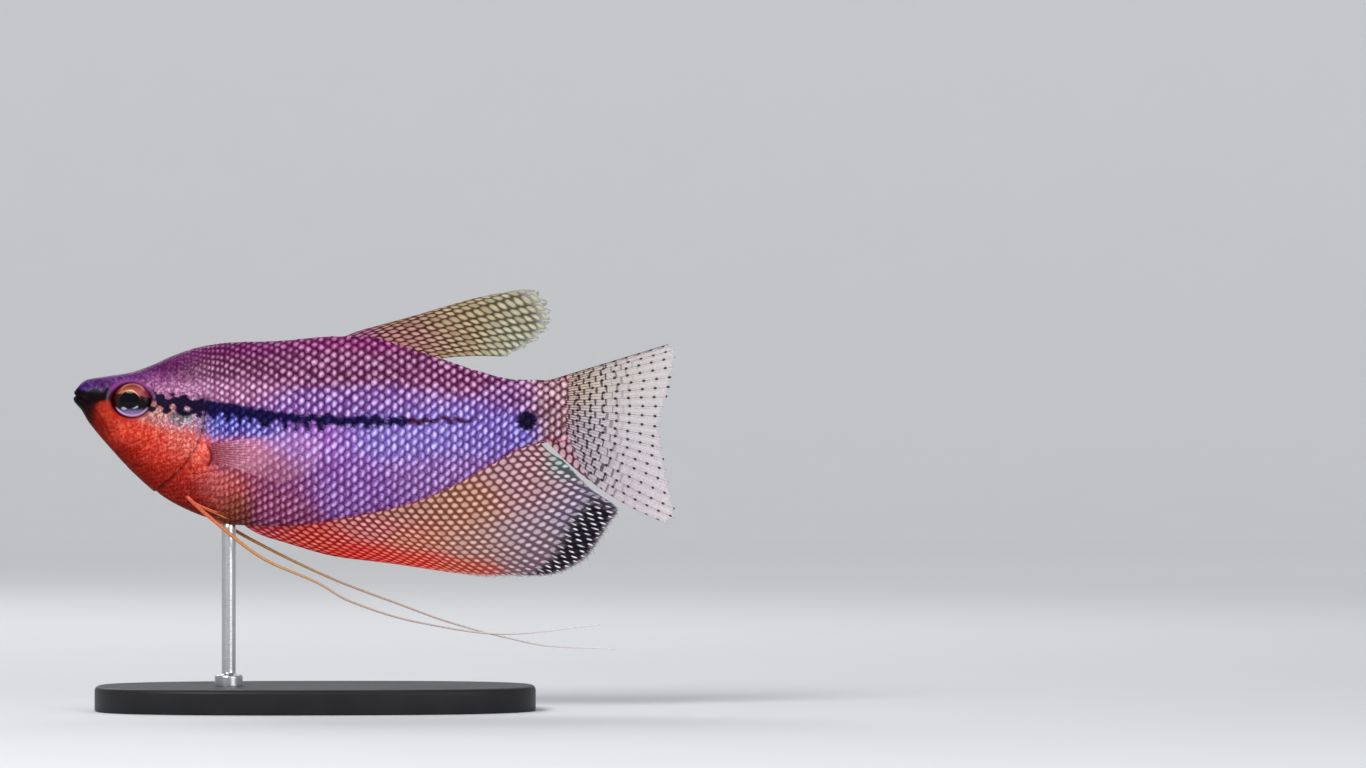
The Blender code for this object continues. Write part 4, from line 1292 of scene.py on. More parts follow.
    def faces(self, rim: Array) -> tuple[Array, Array, Array]:
        """The faces of one scale on the right side: its top, its edge and its under side.

        Args:
            rim: the numbers of its grid's outermost points.

        Returns:
            Three arrays of faces.
        """
        low = self.steps**2 + np.arange(len(rim))
        after = np.roll(np.arange(len(rim)), -1)
        skirt = together(low, low[after], rim[after], rim)
        fan = together(self.steps**2 + len(rim), low[after], low)
        return grid_faces(self.steps, self.steps), skirt, fan

    def unwrap(self, piece: Piece, found: dict[str, Array], along: Array, across: Array) -> None:
        """Lays each scale as a small patch at its root's column and row on the unrolled flank.

        Args:
            piece: the coat.
            found: the scales' columns and rows.
            along: how far back each point of a scale lies.
            across: how far up it lies.
        """
        columns = found["column"].max() + 1
        rows = found["row"]
        low, high = rows.min(), rows.max()
        wide, tall = self.patch
        u = (found["column"][:, None] + 0.5 + wide * (along - along.mean()) / np.ptp(along)) / columns
        v = (rows[:, None] - low + 0.5 + tall * across) / (high - low + 1)
        loops = corner_points(piece)
        add_unwrap(piece, np.column_stack([u.ravel()[loops], v.ravel()[loops]]))


def oval(p: Wire, q: Wire, wide: Number, tall: Number) -> Wire:
    """How far out (p, q) lies: ((p / wide)^2 + (q / tall)^2)^0.5, which is 1 on the oval itself."""
    return ((p / wide) ** 2.0 + (q / tall) ** 2.0) ** 0.5


def roots_along(line: Rows, span: Pair, t: Array) -> Array:
    """The (x, z) points of an outline whose x lies at shares t of a span."""
    x = span[0] + (span[1] - span[0]) * t
    return together(x, smooth(line, x))


class FinPattern(Enum):
    """What a fin's membrane shows."""

    PEARLED = "pearled"
    DOTTED = "dotted"
    CLEAR = "clear"


@dataclass(frozen=True)
class FinFinish:
    """Thin skin between dark rays, with pearls, dots or nothing on it."""

    name: str
    pattern: FinPattern
    pitch: float = 2.2
    ray_colour: str = "#3a1a20"
    ray_share: float = 0.7
    ray_wide: float = 0.17
    tip_shown: float = 0.3
    pearl_size: float = 1.0
    net_cell: Pair = (1.36, 2.05)

    def material(self) -> Material:
        """Builds the material.

        Returns:
            The material, which reads the attributes ground, spot, on_ray and edge.
        """
        g = Graph(self.name)
        ground, veil = g.painted("ground")
        spot, strength = g.painted("spot")
        ray, along, share = g.attribute("on_ray")
        gap, margin, _ = g.attribute("edge")
        place = g.place()
        grain = g.noise(place, 2.6, 4.0, 0.6)
        drift = (g.noise(place, 0.7, 2.0) - 0.5) * 0.5
        off_ray = abs((ray + 0.5).fraction() - 0.5)
        heavy = share.between(0.55, 0.15) * 0.5 + 0.7
        line = (off_ray * gap / heavy).between(self.ray_wide, self.ray_wide * 0.4)
        fine = (g.noise(g.join(ray * 2.2, along * 0.9), 1.0, 2.0) - 0.5) * 0.35
        cell = along / self.pitch + (ray.floor() * 0.5).fraction() + drift * 0.6
        bead = g.node("TexWhiteNoise", {"noise_dimensions": "2D"},
                      {"Vector": g.join(ray.floor(), cell.floor())}, "Value")
        across = (ray.fraction() - 0.5) / (0.46 * self.pearl_size)
        down = cell.fraction() - 0.5
        if self.pattern is FinPattern.PEARLED:
            slim = 1.0 - share.between(0.45, 0.95) * ray.between(12.0, 24.0) * 0.45
            reach = oval(across, down, slim, 0.42 * self.pearl_size) + fine + (bead - 0.5) * 0.25
            pearl = reach.between(1.1, 0.5) * strength
            colour = g.mix(pearl * (0.6 + bead * 0.4), ground, spot)
            # Painted highlight: a lighter copy of the pearl colour laid on the middle of some pearls.
            painted_highlight = g.mix(1.0, spot, (0.12, 0.11, 0.11, 1.0), "ADD")
            colour = g.mix(reach.between(0.7, 0.1) * bead * strength * 0.7, colour, painted_highlight)
            colour = g.mix(line * self.ray_share * (1.0 - pearl * 0.5), colour, self.ray_colour)
            height = pearl * 0.6 + line * 0.5 + grain * 0.2
            tip = line * share.between(0.88, 0.95)
            colour = g.mix(tip * 0.8, colour, "#d8d0d6")
            shown = pearl * 0.75 + line * (1.0 - share.between(0.8, 1.0)) * 0.7 + tip * self.tip_shown
        elif self.pattern is FinPattern.DOTTED:
            x, _, z = g.parts(place)
            column = x / self.net_cell[0]
            low = z / self.net_cell[1] + (column.floor() * 0.5).fraction()
            reach = oval(column.fraction() - 0.5, low.fraction() - 0.5, 0.47, 0.46)
            netted = (37.8 + (z - 60.5) ** 2.0 * 0.025 - x + drift * 2.0).between(-0.35, 0.3)
            brick = along / 2.2 + (ray.floor() * 0.5).fraction() + drift * 0.6 + (bead - 0.5) * 0.2
            bars = abs(brick.fraction() - 0.5).between(0.36, 0.44) * share.between(0.8, 0.4)
            shift = g.node("TexWhiteNoise", {"noise_dimensions": "1D"}, {"W": (ray + 0.5).floor()}, "Value")
            dot_off = abs((along / self.pitch + 0.5 + shift * 0.3).fraction() - 0.5) * self.pitch
            wide = off_ray * gap
            dot = (dot_off * dot_off + wide * wide) ** 0.5
            dots = (dot + fine * 0.3).between(0.42, 0.24) * strength * (1.0 - netted)
            twig = (abs(off_ray - 0.25) * gap).between(0.1, 0.03) * share.between(0.4, 0.55) * 0.6
            branch = twig + ((0.5 - off_ray) * gap / heavy).between(0.13, 0.05) * share.between(0.85, 0.3)
            colour = g.mix(grain.between(0.3, 0.75) * 0.5, spot, ground)
            colour = g.mix(bars * 0.92, colour, self.ray_colour)
            colour = g.mix((line + branch) * self.ray_share * (1.0 - share * 0.5), colour, self.ray_colour)
            colour = g.mix(dots * 0.95, colour, "#22101a")
            cells = g.mix((reach + fine).between(1.15, 0.6), "#4a1c2c", g.mix(0.55, spot, "#a8707a"))
            colour = g.mix(netted, colour, cells)
            height = (line * 0.7 + branch * 0.4) * (1.0 - netted) + grain * 0.3
            shown = dots + bars * 0.85 + line * 0.8 + branch * 0.7 + netted
        else:
            thin = 1.0 - share.between(0.2, 0.7)
            colour = g.mix(grain.between(0.35, 0.7), ground, spot)
            colour = g.mix(line * self.ray_share * thin, colour, self.ray_colour)
            height = line * 0.8 + grain * 0.2
            shown = line * (0.08 + thin * 0.5)
        colour = g.mix(margin, colour, (0.002, 0.0015, 0.004, 1.0))
        half_ray = ray * 2.0
        dash_down = (along / 2.5 + (half_ray.floor() * 0.5).fraction() + drift).fraction() - 0.5
        dash = oval(half_ray.fraction() - 0.5, dash_down, 0.2, 0.26) + fine
        colour = g.mix(dash.between(1.3, 0.5) * margin * (0.6 + bead * 0.4), colour, "#ece4f0")
        solid = (veil + shown * (1.0 - veil) + margin).math("MINIMUM", 1.0)
        return g.dress(Base_Color=colour, Alpha=solid, Roughness=0.42 + grain * 0.1,
                       Coat_Weight=(1.0 - margin) * 0.04, Coat_Roughness=0.2, Specular_IOR_Level=0.09,
                       Normal=g.bump(height, 0.08, 0.6))


@dataclass(frozen=True)
class Fin:
    """A fin as one closed sheet whose rays are ridges in its surface."""

    form: BodyForm
    name: str
    slot: str
    rays: int
    tips: Rows
    zones: tuple[Zone, ...]
    finish: FinFinish
    bow: float = 0.0
    bow_starts: float = -1.0
    fringe: Pair = (0.03, 0.06)
    root_shift: Triple = (0.0, 0.0, 0.0)
    ray_half: Pair = (0.3, 0.15)
    membrane_half: float = 0.1
    rows: int = 44
    offsets: tuple[float, ...] = (0.0, 0.07, 0.16, 0.3, 0.5, 0.7, 0.84, 0.93)

    def base(self, t: Array) -> Array:
        """The (x, z) roots at shares t of the fin's base."""
        raise NotImplementedError

    def sway(self, t: Array, s: Array, x: Array) -> Array:
        """The sheet's y at shares t of the base and s of the ray."""
        raise NotImplementedError

    def veil(self, t: Array, s: Array) -> Array:
        """How opaque the membrane is, from 0 to 1."""
        return np.full(np.broadcast(t, s).shape, 0.85)

    def margin(self, t: Array, s: Array, x: Array) -> Array:
        """How dark the fin's margin is, from 0 to 1."""
        return np.zeros(np.broadcast(t, s).shape)

    def build(self) -> Piece:
        """Builds the fin.

        Each ray is a quadratic curve from its root to its tip, bowed by a share of its length. Between rays
        the sheet ends earlier by the fringe. Its half thickness is a bell over each ray on top of the
        membrane's, and thins to the tips. Two such faces are joined round their rim.

        Returns:
            The piece.
        """
        place = np.arange(self.rays - 1)[:, None] + np.array(self.offsets)
        place = np.append(place.ravel(), self.rays - 1.0)
        t = place / (self.rays - 1)
        between = 2.0 * np.abs(place - np.round(place))
        cut = smooth([(0.0, self.fringe[0]), (1.0, self.fringe[1])], t) * between**1.3
        s = np.linspace(0.0, 1.0, self.rows)[None, :] ** 0.92 * (1.0 - cut)[:, None]
        start, end = self.base(t), smooth(self.tips, t)
        reach = end - start
        bow = self.bow * np.ones_like(t)
        if self.bow_starts > 0.0:
            bow = bow * np.clip((t - self.bow_starts) / (1.0 - self.bow_starts), 0.0, 1.0) ** 2
        control = (start + end) / 2 + bow[:, None] * together(reach[:, 1], -reach[:, 0])
        curve = ((1 - s) ** 2)[..., None] * start[:, None] + (2 * s * (1 - s))[..., None] * control[:, None]
        curve = curve + (s * s)[..., None] * end[:, None]
        x, z = curve[..., 0], curve[..., 1]
        y = self.sway(t[:, None], s, x)
        ray = self.ray_half[0] + (self.ray_half[1] - self.ray_half[0]) * s
        crest = bell(between, 0.28)[:, None]
        half = self.membrane_half + (ray - self.membrane_half) * crest
        half = half * (1.0 - 0.7 * step(0.8, 1.0, s)) + 0.25 * np.clip(1.0 - s / 0.1, 0.0, 1.0) ** 2
        middle = together(x, y, z)
        sunk = middle[:, :1] + np.array(self.root_shift)
        middle = np.concatenate([sunk, middle], axis=1)
        half = np.concatenate([half[:, :1], half], axis=1)
        s = np.concatenate([np.zeros_like(s[:, :1]), s], axis=1)
        columns, rows = half.shape
        thick = np.zeros_like(middle)
        thick[..., 1] = half
        points = np.concatenate([(middle - thick).reshape(-1, 3), (middle + thick).reshape(-1, 3)])
        quads = grid_faces(columns, rows)
        back = columns * rows
        rim = rim_of(columns, rows)
        after = np.roll(rim, -1)
        wall = together(rim, after, after + back, rim + back)
        faces = [quads, quads[:, ::-1] + back, wall[:, ::-1]]
        if not self.faces_out(points, quads):
            faces = [part[:, ::-1] for part in faces]
        x, z = middle[..., 0], middle[..., 2]
        steps = np.linalg.norm(np.diff(middle, axis=1), axis=-1)
        along = np.concatenate([np.zeros((columns, 1)), np.cumsum(steps, axis=1)], axis=1)
        gap = np.linalg.norm(np.gradient(middle, axis=0), axis=-1) / np.gradient(place)[:, None]
        ground, spot, strength = blend_zones(self.zones, x, z)
        veil = np.broadcast_to(self.veil(t[:, None], s), x.shape)
        attributes = {
            "ground": with_fourth(ground, veil),
            "spot": with_fourth(spot, strength),
            "on_ray": together(place[:, None], along, s),
            "edge": together(gap, self.margin(t[:, None], s, x), 0.0),
        }
        attributes = {key: np.tile(values.reshape(back, -1), (2, 1)) for key, values in attributes.items()}
        piece = new_piece(f"{self.name}_sheet", points, faces, attributes)
        settle(piece, self.finish.material(), self.slot, self.name)
        return piece

    @staticmethod
    def faces_out(points: Array, quads: Array) -> bool:
        """Whether the near face's quads point to -Y, away from the sheet's middle."""
        a, b, c = (points[quads[:, k]] for k in (0, 1, 2))
        return bool(np.median(np.cross(b - a, c - a)[:, 1]) < 0)


@dataclass(frozen=True)
class DorsalFin(Fin):
    """The dorsal fin, trailing back over the tail stalk."""

    span: Pair = (-5.9, 13.3)

    def base(self, t: Array) -> Array:
        """Roots along the back line."""
        return roots_along(self.form.back_line, self.span, t)

    def sway(self, t: Array, s: Array, x: Array) -> Array:
        """A slight wave that grows along the rays."""
        return 0.5 * s * np.sin(3.0 * t + 2.0 * s)

    def veil(self, t: Array, s: Array) -> Array:
        """Opaque at the base and thinner behind."""
        return (0.95 - 0.3 * step(0.25, 1.0, s * (0.5 + 0.5 * t))) * (1.0 - 0.92 * step(0.84, 0.97, s))

    def margin(self, t: Array, s: Array, x: Array) -> Array:
        """Dark along the first ray."""
        return 0.5 * step(0.03, 0.0, t) * np.ones_like(s)


@dataclass(frozen=True)
class AnalFin(Fin):
    """The long anal fin from behind the breast to the tail."""

    span: Pair = (-26.0, 33.2)

    def base(self, t: Array) -> Array:
        """Roots along the belly line."""
        return roots_along(self.form.belly_line, self.span, t)

    def sway(self, t: Array, s: Array, x: Array) -> Array:
        """A wave along the base that grows with the square of the way out."""
        return 0.7 * s * s * np.sin(7.0 * t + 1.5 * s)

    def veil(self, t: Array, s: Array) -> Array:
        """Nearly opaque, clear at the hind tips."""
        return 0.97 - step(0.3, 0.6, t) * (0.12 * step(0.6, 0.9, s) + 0.85 * step(0.91, 0.97, s))

    def margin(self, t: Array, s: Array, x: Array) -> Array:
        """A near-black edge under the hind half, widest at the hind corner.

        Args:
            t: shares of the base.
            s: shares of the ray.
            x: places along the fish.

        Returns:
            How dark the margin is, from 0 to 1.
        """
        wide = 0.06 + 0.3 * step(0.55, 0.85, t)
        dark = step(1.0 - wide, 1.0 - 0.6 * wide, s) * step(26.0, 34.0, x) * step(0.97, 0.9, t)
        return 0.98 * dark * step(0.985, 0.93, s)


@dataclass(frozen=True)
class TailFin(Fin):
    """The forked fan of the tail."""

    root_height: float = 12.2
    root_gap: float = 0.3

    def base(self, t: Array) -> Array:
        """Roots down the end of the tail stalk.

        Args:
            t: shares of the base.

        Returns:
            (x, z) points.
        """
        end = np.array([self.form.stalk_end_x])
        middle = (smooth(self.form.back_line, end) + smooth(self.form.belly_line, end))[0] / 2
        z = middle + self.root_height * (0.5 - t)
        return together(self.form.stalk_end_x + self.root_gap, z)

    def sway(self, t: Array, s: Array, x: Array) -> Array:
        """A curl to the right with a small ripple."""
        return 1.3 * s * s + 0.5 * s * np.sin(9.0 * t + s)

    def veil(self, t: Array, s: Array) -> Array:
        """Opaque at the root and clear in the middle of the fan."""
        return 0.92 - (0.66 - 0.16 * step(0.5, 0.8, t)) * step(0.1, 0.5, s)

    def margin(self, t: Array, s: Array, x: Array) -> Array:
        """Dark along the upper edge."""
        return 0.6 * step(0.04, 0.0, t) * np.ones_like(s)


@dataclass(frozen=True)
class PectoralFin(Fin):
    """The clear paddle on one flank."""

    side: Side = Side.LEFT
    roots: Rows = ((0.0, -32.6, 53.4), (1.0, -32.2, 49.8))
    root_y: float = 6.0
    splay: float = math.tan(math.radians(14.0))

    def base(self, t: Array) -> Array:
        """Roots down the fleshy base behind the gill opening."""
        return smooth(self.roots, t)

    def sway(self, t: Array, s: Array, x: Array) -> Array:
        """The paddle stands off the body by its splay angle."""
        away = self.root_y + 0.75 + self.splay * (x - x[:, :1]) + 0.25 * s * np.sin(5.0 * t)
        return self.side.value * away

    def veil(self, t: Array, s: Array) -> Array:
        """Clear but for its base."""
        return 0.45 - 0.25 * step(0.0, 0.2, s) - 0.16 * step(0.2, 0.7, s)


@dataclass(frozen=True)
class EyeFinish:
    """A wet fish eye: black pupil, gold arc, rust iris, dark bars and a lilac crescent."""

    pupil: Pair = (-0.25, 0.15)
    pupil_radii: Pair = (2.0, 1.7)

    def material(self) -> Material:
        """Builds the material.

        Returns:
            The material, which reads the attribute on_eye: millimetres backwards and up from the middle.
        """
        g = Graph("wet_eye")
        p, q, _ = g.attribute("on_eye")
        noise = g.noise(g.join(p, q), 2.2, 3.0)
        wobble = (noise - 0.5) * 0.25
        outline = oval(p, q, 1.09, 0.95)
        dp, dq = p - self.pupil[0], q - self.pupil[1]
        from_pupil = (dp * dp + dq * dq) ** 0.5
        streaks = g.noise(g.join(dp / from_pupil * 4.0, dq / from_pupil * 4.0, from_pupil * 0.6), 2.0, 2.0)
        lid = (dp.math("MAXIMUM", 0.0) ** 2.0) * 0.3 + (dp.math("MINIMUM", 0.0) ** 2.0) * 0.1
        over = q - 2.02 + lid + wobble * 0.4
        upper = g.node("ValToRGB", {"stops": [
            (0.0, "#6e3420"), (0.3, "#8a4a2c"), (0.55, "#8a4430"), (0.8, "#9a4c52"), (1.0, "#642236")]},
            {0: (p + 3.4) / 6.6 + (streaks - 0.5) * 0.35})
        upper = g.mix((outline + wobble).between(2.4, 3.2) * 0.8, upper, "#702034")
        lower = g.mix((q + (noise - 0.5) * 0.9).between(-1.3, -2.9), "#120a1c", "#8a7cb0")
        colour = g.mix(q.between(-0.6, 0.5), lower, upper)
        slope = q - 1.15 + (p - 1.2) * 0.25
        under = q + 1.6 - (p - 1.0) * 0.3
        hind = p.between(0.9, 1.4) * slope.between(0.15, -0.15) * under.between(-0.3, 0.1)
        front = p.between(-1.7, -2.2) * q.between(1.8, 1.2) * q.between(-1.9, -1.2)
        colour = g.mix(front * 0.92, colour, "#220808")
        colour = g.mix(hind * 0.97, colour, "#0c0409")
        gleam_left = oval(p + 1.4, q + 1.55, 0.6, 0.34)
        gleam_right = oval(p - 0.85, q + 1.4 - p * 0.12, 0.7, 0.3)
        gleam = (gleam_left + wobble).between(1.2, 0.6) + (gleam_right + wobble).between(1.2, 0.6)
        colour = g.mix(gleam * 0.7, colour, "#b4b0c0")
        ring = ((p - 0.09) ** 2.0 + (q - 0.98) ** 2.0) ** 0.5
        crescent = abs(ring - 4.0).between(0.3, 0.1) * q.between(-1.1, -1.9)
        colour = g.mix(crescent, colour, "#e2b4ea")
        colour = g.mix((ring - 4.22).between(0.0, 0.14) * q.between(-0.8, -1.4), colour, "#3a0c26")
        # Painted shade: a dark outline at the eyeball's edge, where it sinks into its socket.
        colour = g.mix((outline + wobble * 0.3).between(3.42, 3.58) * 0.9, colour, "#4a1020")
        arc = abs(over + wobble * 0.4).between(0.26, 0.04) * p.between(-3.0, -2.2) * p.between(2.2, 1.3)
        colour = g.mix(arc * 0.85, colour, g.mix(p.between(-0.6, 0.8), "#ac724a", "#ba8452"))
        outer = abs(ring - 2.75 + q * 0.1).between(0.35, 0.05) * q.between(1.6, 2.4) * p.between(-3.0, -1.5)
        colour = g.mix(outer * 0.5, colour, "#c88c6c")
        disc = oval(dp, dq, *self.pupil_radii)
        black = disc.between(1.05, 0.97) * over.between(-0.14, -0.24)
        colour = g.mix(black, colour, (0.0018, 0.0014, 0.003, 1.0))
        shine = (arc + crescent * 0.5) * (1.0 - black)
        height = streaks * (1.0 - black) + black * 0.4
        return g.dress(Base_Color=colour, Metallic=shine * 0.15, Roughness=0.34 - black * 0.2,
                       Coat_Weight=0.11, Coat_Roughness=0.05, Specular_IOR_Level=0.06,
                       Normal=g.bump(height, 0.05, 0.4))


@dataclass(frozen=True)
class Eye:
    """One eyeball: a flat-topped dome that fills its socket, turned a little forwards."""

    form: BodyForm
    side: Side
    radius: float = 3.62
    depth: float = 2.3
    centre_y: float = 3.0
    yaw: float = math.radians(11.0)
    fullness: float = 2.35
    rings: int = 56
    segments: int = 96

    def build(self) -> Piece:
        """Builds the eyeball.

        Its profile is a superellipse: (r / radius)^fullness + (h / depth)^fullness = 1, from the outer pole
        to the inner one.

        Returns:
            The piece.
        """
        angle = np.linspace(0.0, math.pi, self.rings)[1:-1]
        h, r = (superellipse(angle, self.fullness) * (self.depth, self.radius)).T
        turn = turns_round(self.segments)
        wide, tall = self.form.eye_stretch
        p, q = wide * np.outer(r, np.cos(turn)), tall * np.outer(r, np.sin(turn))
        local = together(p, h[:, None], q).reshape(-1, 3)
        local = np.vstack([local, [[0.0, self.depth, 0.0], [0.0, -self.depth, 0.0]]])
        side = self.side.value
        yaw = side * self.yaw
        x = math.cos(yaw) * local[:, 0] - math.sin(yaw) * local[:, 1] * side
        y = math.sin(yaw) * local[:, 0] + math.cos(yaw) * local[:, 1] * side
        centre = np.array([self.form.eye_x + self.depth * math.sin(self.yaw), side * self.centre_y,
                           self.form.eye_z])
        points = together(x, y, local[:, 2]) + centre
        faces = capped_faces(len(angle), self.segments, turned=self.side is Side.LEFT)
        name = f"eye_{self.side.word}"
        piece = new_piece(f"{name}ball", points, faces, {"on_eye": local[:, [0, 2, 1]]})
        settle(piece, EyeFinish().material(), "eye", name)
        return piece


@dataclass(frozen=True)
class ThreadFinish:
    """A feeler's skin: orange-red at its root, paling to pinkish white, in short joints."""

    name: str = "feeler_skin"

    def material(self) -> Material:
        """Builds the material.

        Returns:
            The material, which reads the attribute on_thread: the share and millimetres along, and the turn.
        """
        g = Graph(self.name)
        share, along, _ = g.attribute("on_thread")
        place = g.place()
        grain = g.noise(place, 3.0, 3.0)
        colour = g.node("ValToRGB", {"stops": [
            (0.0, "#b8301c"), (0.08, "#c85a2e"), (0.18, "#ba7c3a"), (0.32, "#b08a5a"), (0.42, "#b29282"),
            (0.62, "#b8a6a2"), (1.0, "#d2cacc")]}, {0: share + (grain - 0.5) * 0.06})
        joints = (along * 5.2).math("SINE").between(0.75, 1.0)
        colour = g.mix(joints * 0.25, colour, g.tinted(colour, (0.62, 0.4, 0.34)))
        return g.dress(Base_Color=colour, Roughness=0.4 + grain * 0.1, Coat_Weight=0.15, Coat_Roughness=0.2,
                       Normal=g.bump(grain * 0.4 - joints, 0.05, 0.5))


@dataclass(frozen=True)
class Feeler:
    """One long thread of a pelvic fin, with the short rays beside its root."""

    side: Side
    path: Rows
    radii: Rows = ((0.0, 0.44), (0.15, 0.34), (0.4, 0.24), (1.0, 0.13))
    short_ends: Rows = ((-29.6, 4.3, 38.4), (-31.4, 4.5, 39.6))
    steps: int = 260
    sides: int = 12
    short_radii: Rows = ((0.0, 0.3), (1.0, 0.09))
    short_steps: int = 40
    short_share: float = 0.12

    def tube(self, path: Rows, radii: Rows, steps: int) -> tuple[Array, list[Array], Array]:
        """A round tube with domed ends: rings of a tapering radius square to the path.

        Args:
            path: the points that the path goes through.
            radii: (share, radius) rows.
            steps: how many rings.

        Returns:
            The points, the faces, and each point's share, millimetres along and turn.
        """
        line = smooth_path(path, steps)
        share = np.linspace(0.0, 1.0, steps)
        along = directions(line)
        across = np.cross(along, (0.0, 1.0, 0.0))
        across /= np.linalg.norm(across, axis=1)[:, None]
        upward = np.cross(across, along)
        far = lengths(line)
        end = np.clip((far[-1] - far) / smooth(radii, share), 0.0, 1.0)
        radius = smooth(radii, share) * np.sqrt(np.maximum(1.0 - (1.0 - end) ** 2, 0.0004))
        turn = turns_round(self.sides)
        ring = np.cos(turn)[None, :, None] * across[:, None] + np.sin(turn)[None, :, None] * upward[:, None]
        points = (line[:, None] + radius[:, None, None] * ring).reshape(-1, 3)
        points = np.vstack([points, line[:1], line[-1:]])
        facts = together(share[:, None], far[:, None], turn).reshape(-1, 3)
        facts = np.vstack([facts, [0.0, 0.0, 0.0], [1.0, far[-1], 0.0]])
        return points, capped_faces(steps, self.sides, turned=True), facts

    def build(self) -> Piece:
        """Builds the thread and its short rays as one piece.

        Returns:
            The piece.
        """
        sign = self.side.value
        made = [self.tube(self.path, self.radii, self.steps)]
        for end in self.short_ends:
            knee = [self.path[0], self.path[1], (end[0], sign * end[1], end[2])]
            made.append(self.tube(knee, self.short_radii, self.short_steps))
        points, faces, facts, start = [], [], [], 0
        for part_points, part_faces, part_facts in made:
            points.append(part_points)
            faces += [part + start for part in part_faces]
            facts.append(part_facts if start == 0 else part_facts * (self.short_share, 1.0, 1.0))
            start += len(part_points)
        name = f"feeler_{self.side.word}"
        piece = new_piece(name, np.vstack(points), faces, {"on_thread": np.vstack(facts)})
        nodes = (f"{name}_{part}" for part in ("root", "middle", "tip"))
        settle(piece, ThreadFinish(name).material(), "feeler", *nodes)
        return piece


@dataclass(frozen=True)
class StandFinish:
    """The stand's two finishes: satin black on the base and brushed steel on the rod."""

    def satin_black(self) -> Material:
        """Fine-grained satin black, worn a little paler in places.

        Returns:
            The base's material.
        """
        g = Graph("satin_black")
        place = g.place()
        grain = g.noise(place, 4.5, 3.0)
        cloud = g.noise(place, 0.09, 4.0).between(0.35, 0.75)
        colour = g.mix(cloud * 0.4 + grain * 0.3, (0.012, 0.012, 0.014, 1.0), (0.024, 0.024, 0.027, 1.0))
        return g.dress(Base_Color=colour, Roughness=0.4 + cloud * 0.04 + grain * 0.05,
                       Specular_IOR_Level=0.14, Normal=g.bump(grain, 0.02, 0.3))

    def brushed_steel(self) -> Material:
        """Steel with fine rings from turning.

        Returns:
            The rod's material.
        """
        g = Graph("brushed_steel")
        place = g.place()
        mapped = g.node("Mapping", inputs={"Vector": place, "Scale": (0.35, 0.35, 14.0)})
        rings = g.noise(mapped, 1.0, 3.0)
        colour = g.mix(rings, (0.42, 0.42, 0.44, 1.0), (0.66, 0.66, 0.68, 1.0))
        return g.dress(Base_Color=colour, Metallic=1.0, Roughness=0.22 + rings * 0.16,
                       Normal=g.bump(rings, 0.02, 0.4))


@dataclass(frozen=True)
class Stand:
    """The oval base and the rod with its collar."""

    form: BodyForm
    centre_x: float = -12.0
    length: float = 88.0
    width: float = 48.0
    height: float = 5.0
    roundness: float = 2.6
    bevel: float = 0.9
    sides: int = 160
    bevel_steps: int = 7
    rod_x: float = -29.3
    rod_radius: float = 1.4
    rod_sides: int = 48
    collar_radius: float = 2.8
    collar_height: float = 2.2
    inner_inset: float = 6.0

    def lathe(self, name: str, outline: Array, rings: Array) -> Piece:
        """A closed solid from scaled rings.

        Args:
            name: the piece's name.
            outline: (x, y) directions once round.
            rings: rows of the ring's half length, its half width, its height and its middle's x.

        Returns:
            The piece.
        """
        long, wide, height, middle = (rings[:, k:k + 1] for k in range(4))
        points = together(middle + long * outline[:, 0], wide * outline[:, 1], height).reshape(-1, 3)
        points = np.vstack([points, [rings[0, 3], 0.0, rings[0, 2]], [rings[-1, 3], 0.0, rings[-1, 2]]])
        return new_piece(name, points, capped_faces(len(rings), len(outline)))

    def build_base(self) -> Piece:
        """Builds the base: a superellipse with a small foot chamfer and a round upper bevel.

        Returns:
            The piece.
        """
        outline = superellipse(turns_round(self.sides), self.roundness)
        bend = np.linspace(0.0, math.pi / 2, self.bevel_steps)
        inset = np.concatenate([[0.3, 0.1, 0.0, 0.0], self.bevel * (1 - np.cos(bend)),
                                [self.bevel + 0.25, self.inner_inset]])
        height = np.concatenate([[0.0, 0.06, 0.3, self.height - self.bevel - 0.2],
                                 self.height - self.bevel * (1 - np.sin(bend)), [self.height, self.height]])
        rings = together(self.length / 2 - inset, self.width / 2 - inset, height, self.centre_x)
        piece = self.lathe("base_plate", outline, rings)
        settle(piece, StandFinish().satin_black(), "stand_base", "stand_base")
        return piece

    def build_rod(self) -> Piece:
        """Builds the rod: a turned collar with rounded shoulders, and a stem up to the belly.

        Returns:
            The piece.
        """
        outline = superellipse(turns_round(self.rod_sides), 2.0)
        foot, shoulder = self.height, self.height + self.collar_height
        bend = np.linspace(0.0, math.pi / 2, 6)
        top = float(smooth(self.form.belly_line, np.array([self.rod_x]))[0])
        radius = np.concatenate([[self.collar_radius] * 3, self.collar_radius - 0.5 * (1 - np.cos(bend)),
                                 self.rod_radius + 0.45 * (1 - np.sin(bend)), [self.rod_radius] * 3,
                                 [self.rod_radius, self.rod_radius - 0.12]])
        height = np.concatenate([[foot, foot + 0.05, shoulder - 0.6], shoulder - 0.5 * (1 - np.sin(bend)),
                                 shoulder + 0.02 + 0.45 * (1 - np.cos(bend)),
                                 [shoulder + 1.0, top / 2, top - 1.0, top - 0.1, top + 0.05]])
        rings = together(radius, radius, height, self.rod_x)
        piece = self.lathe("rod", outline, rings)
        settle(piece, StandFinish().brushed_steel(), "stand_rod", "stand_rod")
        return piece


